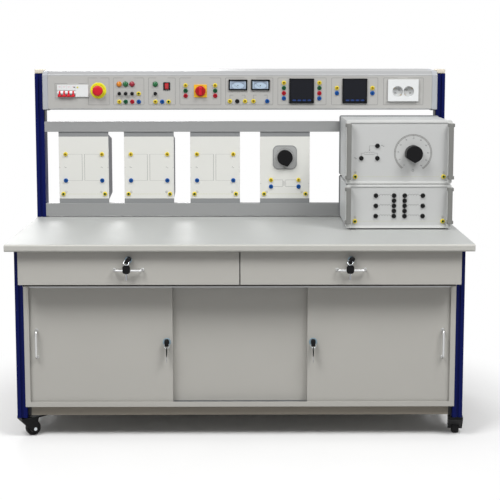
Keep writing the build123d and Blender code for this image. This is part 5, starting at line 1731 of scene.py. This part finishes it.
@dataclass
class Modules:
    """Experiment modules between the rails."""

    shop: Workshop
    centres: tuple[float, ...] = (-614.0, -358.0, -98.5, 175.5)
    width: float = 195.0
    bottom: float = 756.5
    height: float = 297.0
    face: float = 684.0
    back: float = 688.0
    strip: float = 26.5
    socket_rows: Span = (957.8, 854.2)
    dial: Spot = (175.5, 945.5)

    def build(self) -> None:
        """Builds plates, prints, covers, the dial and its knob."""
        shop = self.shop
        # The covers carry painted shade: a darker bluish grey than their aluminium.
        shop.copy("module_covers", "module_cases", MODULE_COVER_PAINTED_SHADE, 0.8, "module_sheet")
        for number, x in enumerate(self.centres, 1):
            self._plate(number, x)
        for number, x in enumerate(self.centres[:-1], 1):
            self._transformer_print(number, x)
        self._dial_print()
        self._dial_plate()
        self._knob()
        shop.dress("transformer_cores", CORE_IRON)

    def _plate(self, number: int, x: float) -> None:
        """Plate with a white front between grey strips and a soft edge."""
        low, high = self.bottom, self.bottom + self.height
        plate = Part()
        levels = (low, low + self.strip, high - self.strip, high)
        for start, end in zip(levels, levels[1:]):
            band = Part.block(about(x, self.width), (self.face, self.back), (start, end), 0.0)
            pour(band.mesh, plate.mesh)
        bmesh.ops.remove_doubles(plate.mesh, verts=plate.mesh.verts, dist=MERGE)
        plate.drop_inner_faces()
        plate.round_edges(plate.sharp_edges(), 0.7, 2)
        piece = self.shop.piece(f"module_plate_{number}")
        piece.add_by_face(plate, ModuleFaces(levels[1:3]))
        piece.finish("root", "module_plate", "module_panels")

    def _transformer_print(self, number: int, x: float) -> None:
        """Circuit of a transformer: four leads, two core lines and a sign on each side."""
        piece = self.shop.piece(f"module_print_{number}")
        faint = Ink(piece, self.face, PRINT_FAINT, 0.8)
        core = Ink(piece, self.face, PRINT_GREY, 1.0)
        high, low = self.socket_rows
        for inner, outer in ((x - 6.7, x - 63.0), (x + 3.0, x + 61.0)):
            faint.line((outer, high), (inner, high))
            faint.line((outer, low), (inner, low))
            core.line((inner, high), (inner, low))
        marks = Ink(piece, self.face, PRINT_DARK, 0.8)
        for offset in (-72.7, 70.0):
            marks.wave((x + offset, 906.0), 1.9)
        self._rim_marks(marks, x, 906.0)
        self._earth_line(piece, x)
        piece.finish("root", "module_plate")

    def _earth_line(self, piece: Piece, x: float) -> None:
        """Dotted line between the earth sockets, with the sign of an earth terminal."""
        dotted = Ink(piece, self.face, PRINT_EARTH, 1.0)
        dotted.dots((x - 70.0, 800.5), (x + 70.0, 800.5), 4.0)
        sign = Ink(piece, self.face, PRINT_GREY, 0.6)
        for offset in (-71.5, 67.0):
            sign.earth((x + offset, 808.5))

    def _dial_print(self) -> None:
        """Print of the adjustable module: leads, windings and the dial's lead."""
        x, _ = self.dial
        piece = self.shop.piece("module_print_4")
        lead = Ink(piece, self.face, PRINT_GREY, 0.8)
        for inner, outer in ((x - 8.5, x - 46.0), (x + 3.6, x + 46.0)):
            lead.line((outer, 856.0), (inner, 856.0), (inner, 829.7), (outer, 829.7))
        core = Ink(piece, self.face, PRINT_GREY, 0.9)
        for offset in (-4.6, -0.4):
            core.line((x + offset, 852.0), (x + offset, 833.5))
        self._earth_line(piece, x)
        self._rim_marks(Ink(piece, self.face, PRINT_DARK, 0.9), x, 843.0)
        piece.finish("root", "module_plate")

    def _rim_marks(self, ink: Ink, x: float, z: float) -> None:
        """Short strokes at both edges of a plate."""
        for side in Side:
            edge = x + side.value * (self.width / 2 - 1.5)
            ink.line((edge, z), (edge - side.value * 3.0, z))

    def _dial_plate(self) -> None:
        """Square dial plate with its border, ticks and white pointer."""
        piece = self.shop.piece("dial_plate")
        front = self.face - 3.0
        piece.add(Part.plate(self.dial, (95.0, 95.0), 21.0, (front, self.face), 0.5, 8), DIAL_GREY)
        border = Ink(piece, front, PRINT_DARK, 1.0, 0.12)
        border.frame(about(self.dial[0], 89.0), about(self.dial[1], 89.0), 18.0)
        ticks = Ink(piece, front, PRINT_DARK, 0.7, 0.12)
        for step in range(31):
            angle = 240.0 - step * 10.0
            ticks.line(polar(self.dial, angle, 34.0),
                       polar(self.dial, angle, 37.5 if step % 5 else 40.5))
        x = self.dial[0]
        pointer = Ink(piece, front, MODULE_WHITE, 3.0, 0.14)
        pointer.line((x - 2.4, 904.5), (x, 910.0), (x + 2.4, 904.5), (x - 2.4, 904.5))
        piece.finish("root", "module_plate", "module_panels")

    def _knob(self) -> None:
        """Black knob with a skirt, a raised grip and a nose that points to the scale."""
        room = Limits.of("module_knob")
        piece = self.shop.piece("dial_knob")
        piece.add(Part.of_node(self.shop.frame, "module_knob", 1.6, 40.0), BLACK_PLASTIC)
        ridge = Ink(piece, room.depth[0], METER_FRAME, 2.0, 0.3)
        ridge.line(polar(self.dial, -75.0, 12.0), polar(self.dial, -75.0, 29.0))
        piece.finish("module_knob", "black_plastic", "module_knob")


@dataclass
class CaseFaces(FaceChooser):
    """Front ring, sheet body, rear ring and feet of an instrument case."""

    body_front: float = 358.0
    body_back: float = 658.0
    feet: tuple[float, float] = (715.0, 879.0)

    def finish_of(self, face: bmesh.types.BMFace) -> Finish:
        """Finish by the depth and the height of the face."""
        middle = face.calc_center_median()
        if any(base - 6.0 < middle.z < base - 0.05 for base in self.feet):
            return BLACK_RUBBER
        if middle.y < self.body_front + 0.1:
            return CASE_RING
        return CASE_REAR if middle.y > self.body_back - 0.1 else CASE_SHEET


@dataclass
class Instruments:
    """Two bench instruments, one on the other, with their plates, handles and knob."""

    shop: Workshop
    centre: float = 580.5
    print_centre: float = 583.5
    plate_face: float = 343.0
    lower: float = 715.0
    upper: float = 879.0
    heights: Span = (162.0, 232.0)
    screw_reach: float = 184.0
    screw_radius: float = 2.6
    knob: Spot = (631.0, 991.0)
    knob_share: float = 0.93
    scale: Span = (234.0, -57.0)
    fine_ticks: int = 5

    def build(self) -> None:
        """Builds cases, plates, prints, handles and the knob."""
        self._cases()
        shop = self.shop
        shop.copy("instrument_plates", "instrument_panels", CASE_PANEL, 0.3, "instrument_plate")
        shop.copy("rack_grips", "instrument_handles", GRIP_GREY, 1.6, "handle_grey")
        self._lower_print()
        self._upper_print()
        self._scale_print()
        self._regulator_knob()

    def _cases(self) -> None:
        """Rings, sheet bodies with their vents, feet and the screws of the rear ring."""
        piece = self.shop.piece("instrument_bodies")
        piece.add_by_face(Part.of_node(self.shop.frame, "instrument_cases", 0.8, 35.0), CaseFaces())
        back = Limits.of("instrument_cases").depth[1]
        for base, height in zip((self.lower, self.upper), self.heights):
            for side in Side:
                for z in (base + 5.0, base + height - 5.0):
                    spot = (self.centre + side.value * self.screw_reach, z)
                    piece.add(Part.disc(spot, self.screw_radius, (back - 0.6, back), 0.4, 16), ZINC)
        piece.finish("root", "instrument_sheet", "instrument_cases")

    def _lower_print(self) -> None:
        """Windings of a three-phase transformer between its rows of sockets."""
        middle = self.print_centre
        piece = self.shop.piece("lower_instrument_print")
        ink = Ink(piece, self.plate_face, PRINT_GREY, 1.0)
        for z in (835.2, 797.4, 759.6):
            for way in (-1, 1):
                start = middle - 72.5 if way < 0 else middle + 32.5
                ink.winding((start, z), 5.0, 4)
                ink.line((middle + way * 77.0, z), (middle + way * 72.5, z))
                ink.line((middle + way * 28.5, z), (middle + way * 32.5, z))
        core = Ink(piece, self.plate_face, PRINT_FAINT, 0.8)
        core.line((middle, 845.0), (middle, 750.0))
        self._earth(piece, 740.4)
        piece.finish("root", "instrument_plate")

    def _upper_print(self) -> None:
        """Circuit of the variable transformer."""
        piece = self.shop.piece("upper_instrument_print")
        ink = Ink(piece, self.plate_face, PRINT_GREY, 1.0)
        ink.line((442.4, 981.5), (442.4, 991.0), (453.9, 991.0))
        ink.winding((453.9, 991.0), 4.45, 4)
        ink.line((489.5, 991.0), (500.9, 991.0), (500.9, 981.5))
        ink.line((491.5, 1017.8), (472.2, 1017.8), (472.2, 1000.5))
        ink.line((469.6, 1004.5), (472.2, 999.5), (474.8, 1004.5))
        ink.line((453.9, 986.0), (489.4, 986.0))
        marks = Ink(piece, self.plate_face, PRINT_DARK, 1.0)
        marks.wave((421.0, 972.5), 2.4)
        marks.wave((520.5, 1017.8), 2.4)
        self._earth(piece, 905.0)
        piece.finish("root", "instrument_plate")

    def _earth(self, piece: Piece, row: float) -> None:
        """Earth signs over the earth sockets and the faint line between them."""
        sign = Ink(piece, self.plate_face, PRINT_GREY, 0.6)
        for x in (421.0, 743.5):
            sign.earth((x, row + 15.0))
        dotted = Ink(piece, self.plate_face, PRINT_EARTH, 0.8)
        dotted.dots((433.0, row), (731.0, row), 4.0)

    def _scale_print(self) -> None:
        """Round scale with a widening band, ticks and plain numbers."""
        piece = self.shop.piece("regulator_scale")
        ink = Ink(piece, self.plate_face, PRINT_GREY, 1.0)
        first, last = self.scale
        band = Part.arc(self.knob, 66.5, (last, first), 4.6, self.plate_face, 0.1)
        piece.add(band, PRINT_FAINT)
        for radius in (69.0, 64.0):
            ink.arc(self.knob, radius, last, first)
        fine = Ink(piece, self.plate_face, PRINT_GREY, 0.6)
        share = (last - first) / (10 * self.fine_ticks)
        for step in range(10 * self.fine_ticks + 1):
            angle = first + step * share
            fine.line(polar(self.knob, angle, 65.5), polar(self.knob, angle, 69.0))
        for step in range(11):
            angle = first + step * self.fine_ticks * share
            ink.line(polar(self.knob, angle, 61.0), polar(self.knob, angle, 69.0))
            digit = Part.text(str(step * 10), 6.2, polar(self.knob, angle, 54.5), self.plate_face,
                              0.15)
            piece.add(digit, PRINT_DARK)
        mark = Ink(piece, self.plate_face, PRINT_DARK, 1.0)
        mark.arc((self.knob[0], 928.0), 3.5, 0, 360)
        piece.finish("root", "instrument_plate")

    def _regulator_knob(self) -> None:
        """Large black knob with a flat and a moulded index ridge."""
        piece = self.shop.piece("regulator_grip")
        piece.add(Part.of_node(self.shop.frame, "regulator_knob", 1.8, 40.0), BLACK_PLASTIC,
                  resized(self.knob, self.knob_share, self.knob_share))
        ridge = Ink(piece, Limits.of("regulator_knob").depth[0], METER_FRAME, 2.0, 0.3)
        ridge.line(polar(self.knob, self.scale[0], 10.0), polar(self.knob, self.scale[0], 26.0))
        piece.finish("regulator_knob", "black_plastic", "regulator_knob")


@dataclass(frozen=True)
class SocketKind:
    """Finishes of a safety socket's ring and of its inner sleeve."""

    ring: Finish
    sleeve: Finish


YELLOW = SocketKind(SOCKET_YELLOW, SOCKET_AMBER)
YELLOW_GREEN = SocketKind(SOCKET_YELLOW, SOCKET_GREEN)
GREEN = SocketKind(SOCKET_GREEN, SOCKET_GREEN)
RED = SocketKind(SOCKET_RED, SOCKET_RED)
BLUE = SocketKind(SOCKET_BLUE, SOCKET_BLUE)
BLACK = SocketKind(SOCKET_BLACK, SOCKET_BLACK)


@dataclass
class Sockets:
    """The 78 safety sockets: a collar, a shrouded nose and the contact inside."""

    shop: Workshop
    bore: float = 2.1
    ring: tuple[Spot, ...] = ((4.7, 0), (4.7, 6.7), (5.1, 7), (5.7, 6.9), (6, 6.4), (6, 2), (8, 2),
                              (8.5, 1.5), (8.5, 0), (4.7, 0))
    sleeve: tuple[Spot, ...] = ((2.1, 0), (2.1, 6.1), (3.5, 6.3), (3.5, 4.5), (4.7, 4.5), (4.7, 0),
                                (2.1, 0))

    def build(self) -> None:
        """Builds one piece of sockets for each carrier."""
        self._group("console_sockets", Console.face, self._console())
        self._group("module_sockets", Modules.face, self._modules())
        self._group("instrument_sockets", Instruments.plate_face, self._instruments())

    @staticmethod
    def _console() -> list[tuple[Spot, SocketKind]]:
        """Places and kinds on the console."""
        row = 1165.0
        places = [((-467.5, row), YELLOW), ((-443.0, row), GREEN), ((-418.0, row), RED),
                  ((-392.5, row), BLUE), ((-392.5, 1196.5), YELLOW_GREEN), ((-328.0, row), YELLOW),
                  ((-302.0, row), BLUE), ((-277.0, row), YELLOW_GREEN), ((-39.5, row + 2), YELLOW),
                  ((-11.0, row + 2), BLACK), ((19.0, row + 2), YELLOW), ((51.5, row + 2), YELLOW),
                  ((105.0, row + 2), BLUE)]
        for x in (-211.0, -96.5):
            places += list(zip(((x, 1228.0), (x, 1207.5), (x, 1188.0)), (YELLOW, GREEN, RED)))
        for x in (169.5, 307.0):
            spots = [(x, z) for z in (1238.0, 1218.0, 1198.0, 1178.0)]
            places += list(zip(spots, (YELLOW, GREEN, RED, BLUE)))
        for x in (375.0, 512.5):
            places += [((x, 1218.0), YELLOW), ((x, 1198.0), BLUE)]
        return places

    @staticmethod
    def _modules() -> list[tuple[Spot, SocketKind]]:
        """Places and kinds on the modules."""
        rows = [(x, 71.3, Modules.socket_rows) for x in Modules.centres[:-1]]
        rows.append((Modules.centres[-1], 54.2, (856.0, 829.7)))
        places = []
        for side in Side:
            for x, reach, (high, low) in rows:
                places += [((x + side.value * reach, high), YELLOW),
                           ((x + side.value * reach, low), BLUE),
                           ((x + side.value * 81.6, 801.0), YELLOW_GREEN)]
        return places

    @staticmethod
    def _instruments() -> list[tuple[Spot, SocketKind]]:
        """Places and kinds on the instruments."""
        rows = [797.4 + step * 18.9 for step in (2, 1, 0, -1, -2)]
        middle = Instruments.print_centre
        places = [((middle + side.value * 19.5, z), BLACK) for side in Side for z in rows]
        places += [((middle + side.value * 86.0, z), BLACK) for side in Side for z in rows[::2]]
        places += [(spot, BLACK) for spot in ((442.4, 972.5), (500.9, 972.5), (500.9, 1017.8))]
        places += [((x, z), YELLOW_GREEN) for x in (421.0, 743.5) for z in (740.4, 905.0)]
        return places

    def _group(self, name: str, face: float, places: list[tuple[Spot, SocketKind]]) -> None:
        """Builds the sockets of one carrier.

        Args:
            name: The piece's name.
            face: Depth of the carrier's face.
            places: X and z of each socket's axis, and its kind.
        """
        ring, sleeve = proud(face, *self.ring), proud(face, *self.sleeve)
        piece = self.shop.piece(name)
        for spot, kind in places:
            piece.add(Part.turned(spot, ring, 24), kind.ring)
            piece.add(Part.turned(spot, sleeve, 20), kind.sleeve)
            piece.add(Part.disc(spot, self.bore, (face - 1.0, face), 0.0, 16), SOCKET_BLACK)
        piece.finish("root", "socket_plastic", "safety_sockets")


@dataclass
class Studio:
    """Floor, lights, world and camera."""

    lens: float = 86.85
    shift: float = -0.12
    place: tuple[float, float, float] = (9.956, -4462.281, 1371.712)
    yaw: float = 0.347
    tilt: float = 6.713
    floor_reach: float = 12.0
    fade: Span = (0.75, 1.35)
    tones: tuple[Input, Input] = ((0.90, 0.90, 0.90, 1.0), (0.93, 0.93, 0.93, 1.0))
    bounce: Input = (0.42, 0.42, 0.42, 1.0)
    sky: float = 0.28

    def build(self) -> None:
        bpy.context.scene.view_settings.view_transform = "Standard"
        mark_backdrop(self._floor(), *self._lights())
        self._world()
        self._camera()

    def _floor(self) -> bpy.types.Object:
        """Plain pale floor."""
        mesh = bmesh.new()
        bmesh.ops.create_grid(mesh, x_segments=8, y_segments=8, size=self.floor_reach)
        data = bpy.data.meshes.new("studio_floor")
        mesh.to_mesh(data)
        mesh.free()
        data.materials.append(self._floor_material())
        return placed("studio_floor", data)

    def _floor_material(self) -> bpy.types.Material:
        """White floor paint that fades into the white backdrop."""
        material = bpy.data.materials.new("studio_floor_white")
        material.use_nodes = True
        tree = material.node_tree
        shader = tree.nodes["Principled BSDF"]
        place = add_node(tree, "TexCoord").outputs["Object"]
        noise = add_node(tree, "TexNoise", {"Vector": place, "Scale": 3.0})
        tone = mixed(tree, noise.outputs["Fac"], *self.tones)
        seen = self._seen(tree)
        fill(tree, shader, {"Base Color": mixed(tree, seen, self.bounce, tone), "Roughness": 0.8,
                            "Specular IOR Level": 0.1})
        away = add_node(tree, "VectorMath", {0: place}, operation="LENGTH")
        near, far = self.fade
        fade = add_node(tree, "MapRange", {"Value": away.outputs["Value"], "From Min": near,
                                           "From Max": far}, interpolation_type="SMOOTHSTEP")
        share = add_node(tree, "Math", {0: fade.outputs["Result"], 1: seen}, operation="MULTIPLY")
        glow = add_node(tree, "Emission")
        both = add_node(tree, "MixShader", {0: share.outputs[0], 1: shader.outputs["BSDF"],
                                            2: glow.outputs["Emission"]})
        fill(tree, tree.nodes["Material Output"], {"Surface": both.outputs["Shader"]})
        return material

    @staticmethod
    def _seen(tree: Tree) -> Output:
        """One for the rays that show the backdrop: from the camera, a mirror or glass."""
        rays = add_node(tree, "LightPath").outputs
        seen = rays["Is Camera Ray"]
        for title in ("Is Glossy Ray", "Is Transmission Ray"):
            seen = add_node(tree, "Math", {0: seen, 1: rays[title]}, operation="MAXIMUM").outputs[0]
        return seen

    def _lights(self) -> list[bpy.types.Object]:
        """Two large soft lights high in front, left and right, and a weak one behind."""
        target = Vector((0.0, -0.1, 0.8))
        plan = (
            ("soft_front_left", Vector((-2.1, -2.75, 4.5)), (2.0, 2.0), 150.0),
            ("soft_front_right", Vector((2.2, -2.65, 4.5)), (2.0, 2.0), 150.0),
            ("soft_back", Vector((-1.2, 4.2, 2.6)), (2.0, 1.6), 70.0),
        )
        lights = []
        for name, place, size, power in plan:
            data = bpy.data.lights.new(name, "AREA")
            data.shape = "RECTANGLE"
            data.size, data.size_y = size
            data.energy = power
            light = placed(name, data)
            light.location = place
            light.rotation_euler = (target - place).to_track_quat("-Z", "Y").to_euler()
            lights.append(light)
        return lights

    def _world(self) -> None:
        """White to the camera and to mirrors, soft grey as light."""
        world = bpy.data.worlds.new("studio_world")
        world.use_nodes = True
        tree = world.node_tree
        tree.nodes.clear()
        strength = add_node(tree, "MapRange", {"Value": self._seen(tree), "To Min": self.sky,
                                               "To Max": 1.0})
        background = add_node(tree, "Background", {"Color": (1.0, 1.0, 1.0, 1.0),
                                                   "Strength": strength.outputs["Result"]})
        add_node(tree, "OutputWorld", {"Surface": background.outputs["Background"]})
        bpy.context.scene.world = world

    def _camera(self) -> None:
        """Camera fitted to the photograph."""
        data = bpy.data.cameras.new("photo_camera")
        data.sensor_width = 36.0
        data.lens = self.lens
        data.shift_y = self.shift
        camera = placed("photo_camera", data)
        camera.location = Vector(self.place) * MM
        camera.rotation_euler = (math.radians(90.0 - self.tilt), 0.0, math.radians(-self.yaw))
        bpy.context.scene.camera = camera


def corners() -> list[list[float]]:
    """Lowest and highest corner of the whole object, in metres."""
    return [[round(value, 6) for value in corner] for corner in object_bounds()]


def main() -> None:
    """Builds the dressed bench and its studio."""
    logging.basicConfig(level=logging.INFO, format="%(name)s: %(message)s")
    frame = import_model()
    shop = Workshop(frame, Effects())
    for assembly in (BenchFrame, Castors, Cabinet, Hardware, Console, Modules, Instruments,
                     Sockets):
        assembly(shop).build()
    Studio().build()


if __name__ == "__main__":
    main()
